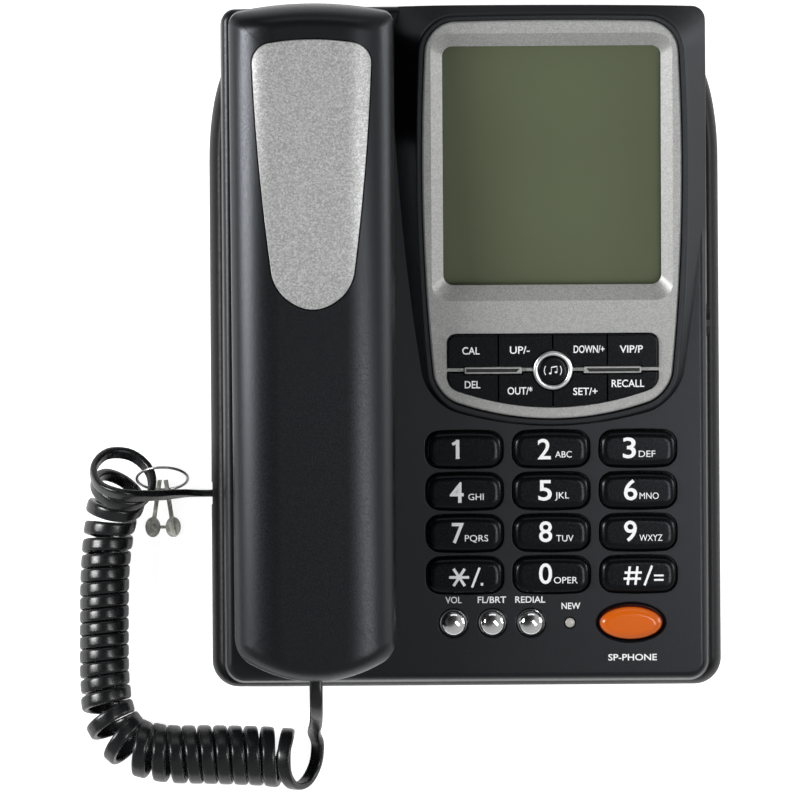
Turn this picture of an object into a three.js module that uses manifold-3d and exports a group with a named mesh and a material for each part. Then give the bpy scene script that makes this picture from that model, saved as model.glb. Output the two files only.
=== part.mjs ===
// A corded desk telephone with a tilted display, built as it comes apart on a bench.
// Millimetres. +Z is up, +Y is the rear, +X is the keypad side, and the telephone rests on z = 0.
import * as THREE from "three";
import { mergeVertices } from "three/addons/utils/BufferGeometryUtils.js";
import Module from "manifold-3d";

const wasm = await Module();
wasm.setup();

// Clearances and walls shared by all pieces
const seatGap = 0.3;
const slideGap = 0.35;
const cutOver = 3;
const shellWall = 2.2;
const boardThickness = 1.6;
const boreSides = 8;
const roundSides = 16;
const holeSides = 6;

// Case
const caseHalfWidth = 76;
const caseHalfLength = 106.5;
// Places and half widths across the case, as shares of its half width
const acrossShares = {
  podX: 0.35987,
  bezelHalfRear: 0.51184,
  bezelHalfFront: 0.48158,
  windowHalfWidth: 0.44737,
  numberHalfWidth: 0.14737,
  numberPitchX: 0.35658,
  numberCentreX: 0.35,
  domedPitch: 0.15921,
  domedFirstX: -0.05395,
  lensX: 0.425,
  speakerKeyX: 0.675,
  speakerKeyHalfWidth: 0.13026,
  featureHalfWidth: 0.43553,
  featureSplitX: 0.22368,
  barHalfLength: 0.11842,
  barX: 0.24474,
  innerDomeX: 0.14474,
  outerDomeX: 0.33553,
  handsetX: -0.62105,
  handsetHalfRear: 0.33816,
  handsetHalfFront: 0.33026,
  inlayHalfRear: 0.24605,
  inlayHalfFront: 0.16184,
  lineJackX: 0.15789,
  speakerRadius: 0.32895,
  speakerMagnetRadius: 0.17105,
  bayX: 0.07895,
  bayWidth: 0.76316,
};
// Places and half lengths along the case, as shares of its half length
const alongShares = {
  podY: 0.39812,
  bezelHalfLength: 0.55399,
  windowHalfLength: 0.35493,
  windowY: 0.123,
  numberHalfLength: 0.04742,
  numberPitchY: 0.12394,
  numberRearY: -0.3061,
  lowerRowY: -0.82066,
  speakerKeyHalfLength: 0.04977,
  featureRearY: -0.37089,
  featureFrontY: -0.53146,
  featureRowY: -0.47981,
  handsetY: 0.02723,
  handsetHalfLength: 0.99437,
  inlayRearY: 0.89953,
  inlayFrontY: 0.10892,
  microphoneY: -0.67606,
  weightLength: 0.48826,
  baseSocketY: -0.42911,
  hookY: 0.58216,
  lockY: 0.07136,
  speakerY: 0.03756,
  bayY: -0.07512,
  bayLength: 0.43192,
};
const caseRearCorner = 4.7;
const caseFrontCorner = 6.5;
const caseRearBulge = 0.6;
const caseDraft = 0.7;
const faceRoll = 2.2;
const faceTilt = THREE.MathUtils.degToRad(6.5);
const faceFrontHeight = 30;
const partingHeight = 20;
const skirtReach = 3.8;
const skirtFrontReach = 1.3;
const skirtRearSetback = 14;
const skirtFrontCorner = 8.4;
const skirtRearRun = 34;
const skirtRearCorner = 10;
const skirtShoulder = 8;
const skirtUnderHeight = 6;
const skirtUndercut = 5;
const trayInset = 0.8;
const trayRoll = 3;

// Feet
const footRadius = 6;
const footHeight = 2.5;
const footSeat = 0.8;
const footSideInset = 13;
const footEndInset = 17;

// Display pod, in its own tilted plane
const podRise = THREE.MathUtils.degToRad(4.4);
const podLift = 1.6;
const podX = caseHalfWidth * acrossShares.podX;
const podY = caseHalfLength * alongShares.podY;
const podRim = 1.6;
const podRimDrop = 0.8;
const podFlare = 0.86;
const podDepth = 12;
const podCavityDepth = 20;
const bezelHalfLength = caseHalfLength * alongShares.bezelHalfLength;
const bezelHalfRear = caseHalfWidth * acrossShares.bezelHalfRear;
const bezelHalfFront = caseHalfWidth * acrossShares.bezelHalfFront;
const bezelSideBulge = 2.6;
const bezelRearBulge = 0.6;
const bezelFrontBulge = 7.7;
const bezelRearCorner = 9;
const bezelFrontCorner = 7;
const bezelSink = 0.5;
const bezelThickness = 1.8;
const bezelEdge = 0.4;
const bezelLedge = 2.5;
const windowHalfWidth = caseHalfWidth * acrossShares.windowHalfWidth;
const windowHalfLength = caseHalfLength * alongShares.windowHalfLength;
const windowY = caseHalfLength * alongShares.windowY;
const windowCorner = 3.1;
const windowDepth = 2.9;
const windowLip = 1;
const chamferWidth = 3.6;
const chamferLength = 4.5;
const collarWall = 1.6;
const paneThickness = 1.5;
const panelThickness = 3;

// Keys
const keyTravel = 1.2;
const keyFlange = 0.7;
const keyFlangeThickness = 1;
const keyStemInset = 2.6;
const keyStemLength = 1.5;
const domeSpare = 0.8;
const domeHeight = keyTravel + domeSpare;
const matThickness = 1;
const numberColumns = 3;
const numberHalfWidth = caseHalfWidth * acrossShares.numberHalfWidth;
const numberHalfLength = caseHalfLength * alongShares.numberHalfLength;
const numberBulge = 0.5;
const numberCorner = 3.1;
const numberRise = 2.3;
const numberEdge = 1.7;
const numberPitchX = caseHalfWidth * acrossShares.numberPitchX;
const numberPitchY = caseHalfLength * alongShares.numberPitchY;
const numberCentreX = caseHalfWidth * acrossShares.numberCentreX;
const numberRearY = caseHalfLength * alongShares.numberRearY;
const numberNames = ["1", "2", "3", "4", "5", "6", "7", "8", "9", "star", "0", "hash"];
const domedRadius = 3.9;
const domedRise = 2.6;
const domedPitch = caseHalfWidth * acrossShares.domedPitch;
const domedFirstX = caseHalfWidth * acrossShares.domedFirstX;
const domedNames = ["volume_button", "flash_button", "redial_button"];
const lowerRowY = caseHalfLength * alongShares.lowerRowY;
const dishReach = 0.9;
const dishDepth = 0.8;
const lensX = caseHalfWidth * acrossShares.lensX;
const lensRadius = 1.5;
const lensRise = 0.5;
const lensLength = 6;
const speakerKeyX = caseHalfWidth * acrossShares.speakerKeyX;
const speakerKeyHalfWidth = caseHalfWidth * acrossShares.speakerKeyHalfWidth;
const speakerKeyHalfLength = caseHalfLength * alongShares.speakerKeyHalfLength;
const speakerKeyRise = 2.8;
const speakerKeyEdge = 3;
const speakerDish = 1;

// Feature keys in the bezel
const featureHalfWidth = caseHalfWidth * acrossShares.featureHalfWidth;
const featureRearY = caseHalfLength * alongShares.featureRearY;
const featureFrontY = caseHalfLength * alongShares.featureFrontY;
const featureFrontBulge = 6.6;
const featureCorner = 3;
const featureSplitX = caseHalfWidth * acrossShares.featureSplitX;
const featureRowY = caseHalfLength * alongShares.featureRowY;
const featureRise = 0.6;
const featureEdge = 0.5;
const featureGap = 0.5;
const featureWeb = 1;
const barHalfLength = caseHalfWidth * acrossShares.barHalfLength;
const barHalfWidth = 1.1;
const barRise = 0.9;
const barX = caseHalfWidth * acrossShares.barX;
const innerDomeX = caseHalfWidth * acrossShares.innerDomeX;
const outerDomeX = caseHalfWidth * acrossShares.outerDomeX;
const ringOuterRadius = 6.25;
const ringInnerRadius = 4.9;
const ringRise = 1.3;
const melodyRadius = 4.5;
const melodyRise = 0.9;
const featureNames = ["cal", "up", "down", "vip", "delete", "out", "set", "recall"];

// Handset
const handsetX = caseHalfWidth * acrossShares.handsetX;
const handsetY = caseHalfLength * alongShares.handsetY;
const handsetLift = 15;
const handsetHalfLength = caseHalfLength * alongShares.handsetHalfLength;
const handsetHalfRear = caseHalfWidth * acrossShares.handsetHalfRear;
const handsetHalfFront = caseHalfWidth * acrossShares.handsetHalfFront;
const handsetRearBulge = 2.9;
const handsetFrontBulge = 8.5;
const handsetRearCorner = 3.4;
const handsetFrontCorner = 5;
const handsetSideHeight = 3.5;
const handsetCrown = 12;
const handsetCrownInset = 15;
const handsetEndRoll = 6;
const handsetWall = 2;
const gripDepth = 5;
const gripRoll = 4;
const cupDepth = 22;
const cupShortfall = 1.4;
const cupLength = 2 * handsetHalfRear - cupShortfall;
const cupInnerCorner = 9;
const cupTopInset = 1.2;
const cupShoulderDepth = 6.5;
const cupShoulderInset = 2.6;
const cupWaistDepth = 11.5;
const cupWaistInset = 6.2;
const cupFootInset = 7.2;
const cupRoll = 1.6;
const wellGap = 1.2;
const inlayHalfRear = caseHalfWidth * acrossShares.inlayHalfRear;
const inlayHalfFront = caseHalfWidth * acrossShares.inlayHalfFront;
const inlayRearY = caseHalfLength * alongShares.inlayRearY;
const inlayFrontY = caseHalfLength * alongShares.inlayFrontY;
const inlayRearBulge = 2.2;
const inlayFrontBulge = 7.4;
const inlaySideBulge = 1;
const inlayRearCorner = 5.5;
const inlayFrontCorner = 3.6;
const inlayThickness = 1.2;
const inlayProud = 0.15;
const inlayGap = 0.4;

// Pieces inside the handset
const earpieceSpare = 1.4;
const earpieceRadius = cupLength / 2 - cupFootInset - handsetWall - earpieceSpare;
const earpieceHeight = 9;
const earpieceY = handsetHalfLength - (handsetRearBulge + cupLength) / 2;
const microphoneRadius = 4.8;
const microphoneHeight = 6;
const microphoneY = caseHalfLength * alongShares.microphoneY;
const soundHoleRadius = 1.1;
const earHoleCount = 6;
const earHoleCircle = 7;
const mouthHoleCount = 3;
const mouthHolePitch = 4;
const weightWidth = 14;
const weightLength = caseHalfLength * alongShares.weightLength;
const weightHeight = 7;

// Plugs and sockets
const plugWide = 7.6;
const plugNarrow = 6.4;
const plugLength = 12;
const plugSink = 0.9;
const plugClipShare = 1 / 6;
const socketWall = 1.6;
const socketDepth = 14.5;
const jackHeight = -1.5;
const handsetJackSetback = 2.4;
const baseSocketY = caseHalfLength * alongShares.baseSocketY;
const baseSocketHeight = (footHeight + partingHeight) / 2;
const lineJackX = caseHalfWidth * acrossShares.lineJackX;
const lineJackWide = 9.8;
const lineJackHigh = 7;
const lineJackDepth = 12;

// Hook plunger, lock barrel, loudspeaker and battery bay
const hookWidth = 8;
const hookLength = 6;
const hookTravel = 4;
const hookFlange = 1.5;
const hookFlangeThickness = 1.5;
const hookStem = 4;
const hookY = caseHalfLength * alongShares.hookY;
const lockRadius = 4.2;
const lockY = caseHalfLength * alongShares.lockY;
const lockHeight = 31;
const lockProud = 0.6;
const lockLength = 12;
const lockHeadReach = 0.9;
const lockHeadThickness = 1.6;
const keywayLength = 4.4;
const keywayWidth = 1.2;
const keywayDepth = 2.4;
const speakerRadius = caseHalfWidth * acrossShares.speakerRadius;
const speakerMagnetRadius = caseHalfWidth * acrossShares.speakerMagnetRadius;
const speakerFrameHeight = 5;
const speakerHeight = 12;
const speakerY = caseHalfLength * alongShares.speakerY;
const speakerSlotCount = 7;
const speakerSlotPitch = 5;
const speakerSlotWidth = 2;
const bayX = caseHalfWidth * acrossShares.bayX;
const bayY = caseHalfLength * alongShares.bayY;
const bayWidth = caseHalfWidth * acrossShares.bayWidth;
const bayLength = caseHalfLength * alongShares.bayLength;
const bayDepth = 14;
const bayLedge = 1.8;
const doorThickness = 2;
const bossRadius = 3.4;
const bossBore = 1.6;
const bossSideInset = 9;
const bossEndInset = 24;

// Curly cord: it runs from the handset to the left side of the base
const cordWidth = 3.8;
const cordThickness = 2.4;
const cordSides = 5;
const curlSteps = 8;
const curlCount = 28;
const curlStartTurn = 190 / 360;
const curlEndTurn = 90 / 360;
// Axis of the curls from the handset end: place from the case's front left corner, radius of the curls,
// and distance from curl to curl
const curlAxis = [
  { at: [26.7, -23.2, 13.3], radius: 8.7, pitch: 9.5 },
  { at: [20.2, -22.7, 10.6], radius: 8.5, pitch: 8.2 },
  { at: [12, -21.9, 9.9], radius: 8.3, pitch: 5 },
  { at: [-4, -21.3, 9.8], radius: 8.2, pitch: 4.7 },
  { at: [-20, -20.7, 9.6], radius: 8, pitch: 5.4 },
  { at: [-30, -17.5, 9.3], radius: 7.7, pitch: 7.4 },
  { at: [-36, -9.5, 8.9], radius: 7.2, pitch: 7.2 },
  { at: [-37.6, 0.5, 8.3], radius: 6.7, pitch: 4.6 },
  { at: [-37.8, 18.5, 8.2], radius: 6.6, pitch: 4.1 },
  { at: [-37.3, 38.5, 8.2], radius: 6.6, pitch: 4.4 },
  { at: [-35.5, 52.5, 8.5], radius: 6.9, pitch: 6.2 },
  { at: [-33.8, 61, 11.1], radius: 8, pitch: 9.5 },
  { at: [-32.2, 68, 17.3], radius: 9.4, pitch: 10.5 },
];
// Free stretches of the cord, chosen by hand, from the front end of the handset and from the cord socket
const handsetLead = [
  [0, 2.62, 43.95],
  [0, 0.4, 43.7],
  [0, -1.8, 43.45],
  [0, -5.3, 42.2],
  [0, -8.5, 38.2],
  [-0.1, -10.7, 32],
  [-0.3, -12.5, 25.2],
];
const baseLead = [
  [-26.4, -1, 8.9],
  [-21, -0.7, 6.6],
  [-15.5, -0.3, 3.3],
  [-11, 0, 0.8],
  [-7, 0, 0],
  [-4.6, 0, 0],
  [-2.3, 0, 0],
];

// Wire ring and its pair of keys
const ringFromSocket = [-20.9, 3.9, -3.05];
const ringRadius = 8;
const ringWire = 0.45;
const ringLean = THREE.MathUtils.degToRad(52);
const ringSteps = 20;
const ringSides = 6;
const keyTipX = 0.95;
const keyTipReach = 3.1;
const keyShankHalfWidth = 0.7;
const keyPaddleX = 3.2;
const keyPaddleY = -10.6;
const keyPaddleHalfWidth = 2.4;
const keyPaddleHalfLength = 3.2;
const keyPaddleHeight = 1.9;
const keyRidgeHeight = 2.4;
const keyNeckHeight = 3.6;
const keyNeckLength = 3.2;
const keyFloor = 0.35;
const keyRunnerHalfWidth = 0.5;

// Colours and finishes
const finishes = {
  black: { color: 0x1b1c1e, roughness: 0.42, metalness: 0 },
  underside: { color: 0x202124, roughness: 0.6, metalness: 0 },
  silver: { color: 0x8d8f91, roughness: 0.45, metalness: 0.5 },
  glitter: { color: 0xc4c5c6, roughness: 0.4, metalness: 0.6 },
  clear: { color: 0xdfe5dc, roughness: 0.08, metalness: 0 },
  panel: { color: 0x606650, roughness: 0.5, metalness: 0 },
  key: { color: 0x161719, roughness: 0.38, metalness: 0 },
  chrome: { color: 0xc8cacd, roughness: 0.12, metalness: 1 },
  orange: { color: 0xf05a1e, roughness: 0.4, metalness: 0 },
  rubber: { color: 0x1a1a1a, roughness: 0.85, metalness: 0 },
  board: { color: 0x2c5a34, roughness: 0.6, metalness: 0 },
  steel: { color: 0x9a9c9f, roughness: 0.35, metalness: 1 },
  lens: { color: 0xd8d4c8, roughness: 0.2, metalness: 0 },
  cord: { color: 0x232426, roughness: 0.5, metalness: 0 },
  plug: { color: 0x2a2b2e, roughness: 0.3, metalness: 0 },
  greyKey: { color: 0xa3a49f, roughness: 0.5, metalness: 0 },
};

// Outline of four bulged sides with rounded corners, as a function of its inset
const cornerHandleShare = 0.5523;
const leastCornerShare = 0.25;
function outlineOf(size, steps = { side: 2, end: 2, corner: 3 }) {
  return (inset) => {
    const rear = size.rear - inset;
    const front = size.front + inset;
    const halfRear = size.halfRear - inset;
    const halfFront = size.halfFront - inset;
    const corners = [
      [halfFront, front],
      [halfRear, rear],
      [-halfRear, rear],
      [-halfFront, front],
    ].map(([x, y]) => new THREE.Vector2(x + (size.x ?? 0), y));
    const radius = (value) => Math.max(value - inset, value * leastCornerShare);
    const frontCorner = radius(size.frontCorner);
    const rearCorner = radius(size.rearCorner);
    const rearRun = radius(size.rearRun ?? size.rearCorner);
    const bulges = [size.sideBulge ?? 0, size.rearBulge ?? 0, size.sideBulge ?? 0, size.frontBulge ?? 0];
    const trims = [
      [frontCorner, rearRun],
      [rearCorner, rearCorner],
      [rearRun, frontCorner],
      [frontCorner, frontCorner],
    ];
    const counts = [steps.side, steps.end, steps.side, steps.end];
    const sides = corners.map((from, k) => {
      const to = corners[(k + 1) % corners.length];
      const along = to.clone().sub(from);
      const outward = new THREE.Vector2(along.y, -along.x).normalize();
      const handle = from.clone().lerp(to, 1 / 2).addScaledVector(outward, 2 * bulges[k]);
      const curve = new THREE.QuadraticBezierCurve(from, handle, to);
      const first = trims[k][0] / along.length();
      const last = 1 - trims[k][1] / along.length();
      return { curve, first, last, count: counts[k] };
    });
    const points = [];
    sides.forEach((side, k) => {
      const next = sides[(k + 1) % sides.length];
      for (let i = 0; i <= side.count; i++) {
        const t = THREE.MathUtils.lerp(side.first, side.last, i / side.count);
        points.push(side.curve.getPoint(t));
      }
      const from = side.curve.getPoint(side.last);
      const to = next.curve.getPoint(next.first);
      const corner = corners[(k + 1) % corners.length];
      const leave = side.curve.getTangent(side.last);
      const arrive = next.curve.getTangent(next.first);
      const turn = new THREE.CubicBezierCurve(
        from,
        from.clone().addScaledVector(leave, cornerHandleShare * from.distanceTo(corner)),
        to.clone().addScaledVector(arrive, -cornerHandleShare * to.distanceTo(corner)),
        to,
      );
      for (let i = 1; i < steps.corner; i++) points.push(turn.getPoint(i / steps.corner));
    });
    return points;
  };
}

// Closed rings of one outline, joined by faces and closed by a cap at each end
function ringsToGeometry(rings) {
  const count = rings[0].length;
  const index = [];
  for (let k = 0; k + 1 < rings.length; k++) {
    for (let i = 0; i < count; i++) {
      const a = k * count + i;
      const b = k * count + ((i + 1) % count);
      index.push(a, b, b + count, a, b + count, a + count);
    }
  }
  return { count, index };
}

function meshFrom(points, index) {
  const geometry = new THREE.BufferGeometry();
  const flat = points.flatMap((p) => [p.x, p.y, p.z]);
  geometry.setAttribute("position", new THREE.Float32BufferAttribute(flat, 3));
  geometry.setIndex(index);
  return geometry;
}

// A stack of insets of one outline. Each level is [inset, height], and a height may follow a surface.
function loft(outline, levels) {
  const rings = levels.map(([inset, height]) =>
    outline(inset).map(
      (p) => new THREE.Vector3(p.x, p.y, typeof height === "function" ? height(p.x, p.y) : height),
    ),
  );
  const { count, index } = ringsToGeometry(rings);
  const first = THREE.ShapeUtils.triangulateShape(rings[0].map((p) => new THREE.Vector2(p.x, p.y)), []);
  const last = THREE.ShapeUtils.triangulateShape(rings.at(-1).map((p) => new THREE.Vector2(p.x, p.y)), []);
  const top = (rings.length - 1) * count;
  for (const [a, b, c] of first) index.push(a, c, b);
  for (const [a, b, c] of last) index.push(top + a, top + b, top + c);
  return meshFrom(rings.flat(), index);
}

// Levels that roll from an upright wall to a flat top or, with the heights swapped, the other way
const rollSteps = 3;
function roll(insetFrom, heightFrom, insetTo, heightTo, steps = rollSteps) {
  return Array.from({ length: steps + 1 }, (_, i) => {
    const turn = ((Math.PI / 2) * i) / steps;
    const inset = insetFrom + (insetTo - insetFrom) * (1 - Math.cos(turn));
    const from = heightFrom;
    const to = heightTo;
    if (typeof from !== "function") return [inset, from + (to - from) * Math.sin(turn)];
    return [inset, (x, y) => from(x, y) + (to(x, y) - from(x, y)) * Math.sin(turn)];
  });
}

function solidOf(geometry, matrix) {
  const bare = geometry.clone();
  bare.deleteAttribute("normal");
  bare.deleteAttribute("uv");
  if (matrix) bare.applyMatrix4(matrix);
  const merged = mergeVertices(bare);
  return new wasm.Manifold(
    new wasm.Mesh({
      numProp: 3,
      vertProperties: merged.attributes.position.array,
      triVerts: new Uint32Array(merged.index.array),
    }),
  );
}

function geometryOf(solid) {
  const mesh = solid.getMesh();
  const geometry = new THREE.BufferGeometry();
  geometry.setAttribute("position", new THREE.BufferAttribute(mesh.vertProperties, 3));
  geometry.setIndex(new THREE.BufferAttribute(mesh.triVerts, 1));
  return geometry;
}

const place = (x, y, z) => new THREE.Matrix4().makeTranslation(x, y, z);

// A block given by its lowest and highest corners
function block(low, high, matrix) {
  const size = high.map((v, i) => v - low[i]);
  const centre = high.map((v, i) => (v + low[i]) / 2);
  const geometry = new THREE.BoxGeometry(...size);
  geometry.translate(...centre);
  return solidOf(geometry, matrix);
}

// An upright rod between two heights, or a stack of radii
function rod(x, y, profile, matrix, sides = boreSides) {
  const closed = [[0, profile[0][1]], ...profile, [0, profile.at(-1)[1]]];
  const geometry = new THREE.LatheGeometry(closed.map(([r, z]) => new THREE.Vector2(r, z)), sides);
  geometry.rotateX(Math.PI / 2);
  geometry.translate(x, y, 0);
  return solidOf(geometry, matrix);
}

const unite = (first, ...others) => others.reduce((sum, next) => sum.add(next), first);
const cut = (first, ...others) => others.reduce((rest, next) => rest.subtract(next), first);

// Frames: the sloping face, the pod's steeper plane and the handset lying on the face
const faceHeight = (x, y) => faceFrontHeight + (y + caseHalfLength) * Math.tan(faceTilt);
const facePlane = new THREE.Matrix4().makeRotationX(faceTilt).setPosition(0, 0, faceHeight(0, 0));
const podTilt = faceTilt + podRise;
const podFrontY = podY - bezelHalfLength * Math.cos(podTilt);
const podCentreHeight =
  faceHeight(0, podFrontY) + podLift + (podY - podFrontY) * Math.tan(podTilt);
const podPlane = new THREE.Matrix4().makeRotationX(podTilt).setPosition(podX, podY, podCentreHeight);
const handsetPlane = facePlane.clone().multiply(place(handsetX, handsetY, handsetLift));
const above = (surface, height) => (x, y) => surface(x, y) + height;

const group = new THREE.Group();
const faceGroup = new THREE.Group();
const podGroup = new THREE.Group();
const handsetGroup = new THREE.Group();
faceGroup.applyMatrix4(facePlane);
podGroup.applyMatrix4(podPlane);
handsetGroup.applyMatrix4(handsetPlane);
group.add(faceGroup, podGroup, handsetGroup);

function add(parent, name, shape, finish) {
  const geometry = shape.isBufferGeometry ? shape : geometryOf(shape);
  geometry.computeVertexNormals();
  const mesh = new THREE.Mesh(geometry, new THREE.MeshStandardMaterial(finishes[finish]));
  mesh.name = name;
  parent.add(mesh);
  return mesh;
}

// Outlines
const caseOutline = outlineOf(
  {
    rear: caseHalfLength - caseRearBulge,
    front: -(caseHalfLength - skirtFrontReach),
    halfRear: caseHalfWidth,
    halfFront: caseHalfWidth,
    rearBulge: caseRearBulge,
    rearCorner: caseRearCorner,
    frontCorner: caseFrontCorner,
  },
  { side: 1, end: 4, corner: 4 },
);
const skirtOutline = outlineOf(
  {
    rear: caseHalfLength - skirtRearSetback,
    front: -caseHalfLength,
    halfRear: caseHalfWidth + skirtReach,
    halfFront: caseHalfWidth + skirtReach,
    rearRun: skirtRearRun,
    rearCorner: skirtRearCorner,
    frontCorner: skirtFrontCorner,
  },
  { side: 1, end: 1, corner: 5 },
);
const bezelOutline = outlineOf(
  {
    rear: bezelHalfLength,
    front: -bezelHalfLength,
    halfRear: bezelHalfRear,
    halfFront: bezelHalfFront,
    sideBulge: bezelSideBulge,
    rearBulge: bezelRearBulge,
    frontBulge: bezelFrontBulge,
    rearCorner: bezelRearCorner,
    frontCorner: bezelFrontCorner,
  },
  { side: 5, end: 5, corner: 4 },
);
const windowOutline = outlineOf(
  {
    rear: windowY + windowHalfLength,
    front: windowY - windowHalfLength,
    halfRear: windowHalfWidth,
    halfFront: windowHalfWidth,
    rearCorner: windowCorner,
    frontCorner: windowCorner,
  },
  { side: 1, end: 1, corner: 4 },
);
const chamferOutline = outlineOf(
  {
    rear: windowY + windowHalfLength + chamferLength,
    front: windowY - windowHalfLength - chamferLength,
    halfRear: windowHalfWidth + chamferWidth,
    halfFront: windowHalfWidth + chamferWidth,
    rearCorner: windowCorner + chamferWidth,
    frontCorner: windowCorner + chamferWidth,
  },
  { side: 1, end: 1, corner: 4 },
);
const featureOutline = outlineOf(
  {
    rear: featureRearY,
    front: featureFrontY,
    halfRear: featureHalfWidth,
    halfFront: featureHalfWidth,
    frontBulge: featureFrontBulge,
    rearCorner: featureCorner,
    frontCorner: featureCorner,
  },
  { side: 1, end: 6, corner: 3 },
);
const numberOutline = outlineOf(
  {
    rear: numberHalfLength,
    front: -numberHalfLength,
    halfRear: numberHalfWidth,
    halfFront: numberHalfWidth,
    sideBulge: numberBulge,
    rearBulge: numberBulge,
    frontBulge: numberBulge,
    rearCorner: numberCorner,
    frontCorner: numberCorner,
  },
  { side: 1, end: 2, corner: 2 },
);
const handsetSize = {
  rear: handsetHalfLength - handsetRearBulge,
  front: -(handsetHalfLength - handsetFrontBulge),
  halfRear: handsetHalfRear,
  halfFront: handsetHalfFront,
  rearBulge: handsetRearBulge,
  frontBulge: handsetFrontBulge,
  rearCorner: handsetRearCorner,
  frontCorner: handsetFrontCorner,
};
const handsetOutline = outlineOf(handsetSize, { side: 2, end: 6, corner: 4 });
const earOutline = outlineOf(
  {
    ...handsetSize,
    front: handsetSize.rear - cupLength,
    halfFront: handsetHalfRear,
    frontBulge: 0,
    frontCorner: cupInnerCorner,
  },
  { side: 1, end: 3, corner: 3 },
);
const mouthOutline = outlineOf(
  {
    ...handsetSize,
    rear: handsetSize.front + cupLength,
    halfRear: handsetHalfFront,
    rearBulge: 0,
    rearCorner: cupInnerCorner,
  },
  { side: 1, end: 4, corner: 3 },
);
const inlayOutline = outlineOf(
  {
    rear: inlayRearY - inlayRearBulge,
    front: inlayFrontY + inlayFrontBulge,
    halfRear: inlayHalfRear,
    halfFront: inlayHalfFront,
    sideBulge: inlaySideBulge,
    rearBulge: inlayRearBulge,
    frontBulge: inlayFrontBulge,
    rearCorner: inlayRearCorner,
    frontCorner: inlayFrontCorner,
  },
  { side: 4, end: 4, corner: 3 },
);

// Heights of the pieces in the key stack, below the face or the bezel's plate
function keyStack(skin) {
  const flangeTop = skin - seatGap;
  const flangeBottom = flangeTop - keyFlangeThickness;
  const stemBottom = flangeBottom - keyStemLength;
  const domeTop = stemBottom - seatGap;
  const matTop = domeTop - domeHeight;
  const matBottom = matTop - matThickness;
  return { flangeTop, flangeBottom, stemBottom, domeTop, matTop, matBottom, boardTop: matBottom - seatGap };
}
const faceStack = keyStack(-shellWall);
const bezelBottom = -bezelSink - bezelThickness;
const featureStack = keyStack(bezelBottom);

// Places of the number keys in the face's plane
const numberPlaces = numberNames.map((name, i) => {
  const column = i % numberColumns;
  const row = Math.floor(i / numberColumns);
  return {
    name: "key_" + name,
    x: numberCentreX + (column - (numberColumns - 1) / 2) * numberPitchX,
    y: numberRearY - row * numberPitchY,
  };
});
const domedPlaces = domedNames.map((name, i) => ({ name, x: domedFirstX + i * domedPitch, y: lowerRowY }));

const wellLevels = (reach) => [
  [cupFootInset - reach, -cupDepth - seatGap],
  [cupWaistInset - reach, -cupWaistDepth],
  [cupWaistInset - reach, cutOver],
];
const wellWallLevels = [
  [cupFootInset - wellGap - shellWall, -cupDepth - seatGap - shellWall],
  [cupWaistInset - wellGap - shellWall, -handsetLift - shellWall / 2],
];
const speakerKeyPlace = facePlane.clone().multiply(place(speakerKeyX, lowerRowY, 0));
const ovalSteps = 20;
function oval(halfWidth, halfLength, levels, matrix) {
  const outline = (inset) =>
    Array.from({ length: ovalSteps }, (_, i) => {
      const turn = (2 * Math.PI * i) / ovalSteps;
      return new THREE.Vector2((halfWidth - inset) * Math.cos(turn), (halfLength - inset) * Math.sin(turn));
    });
  return solidOf(loft(outline, levels), matrix);
}

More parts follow.
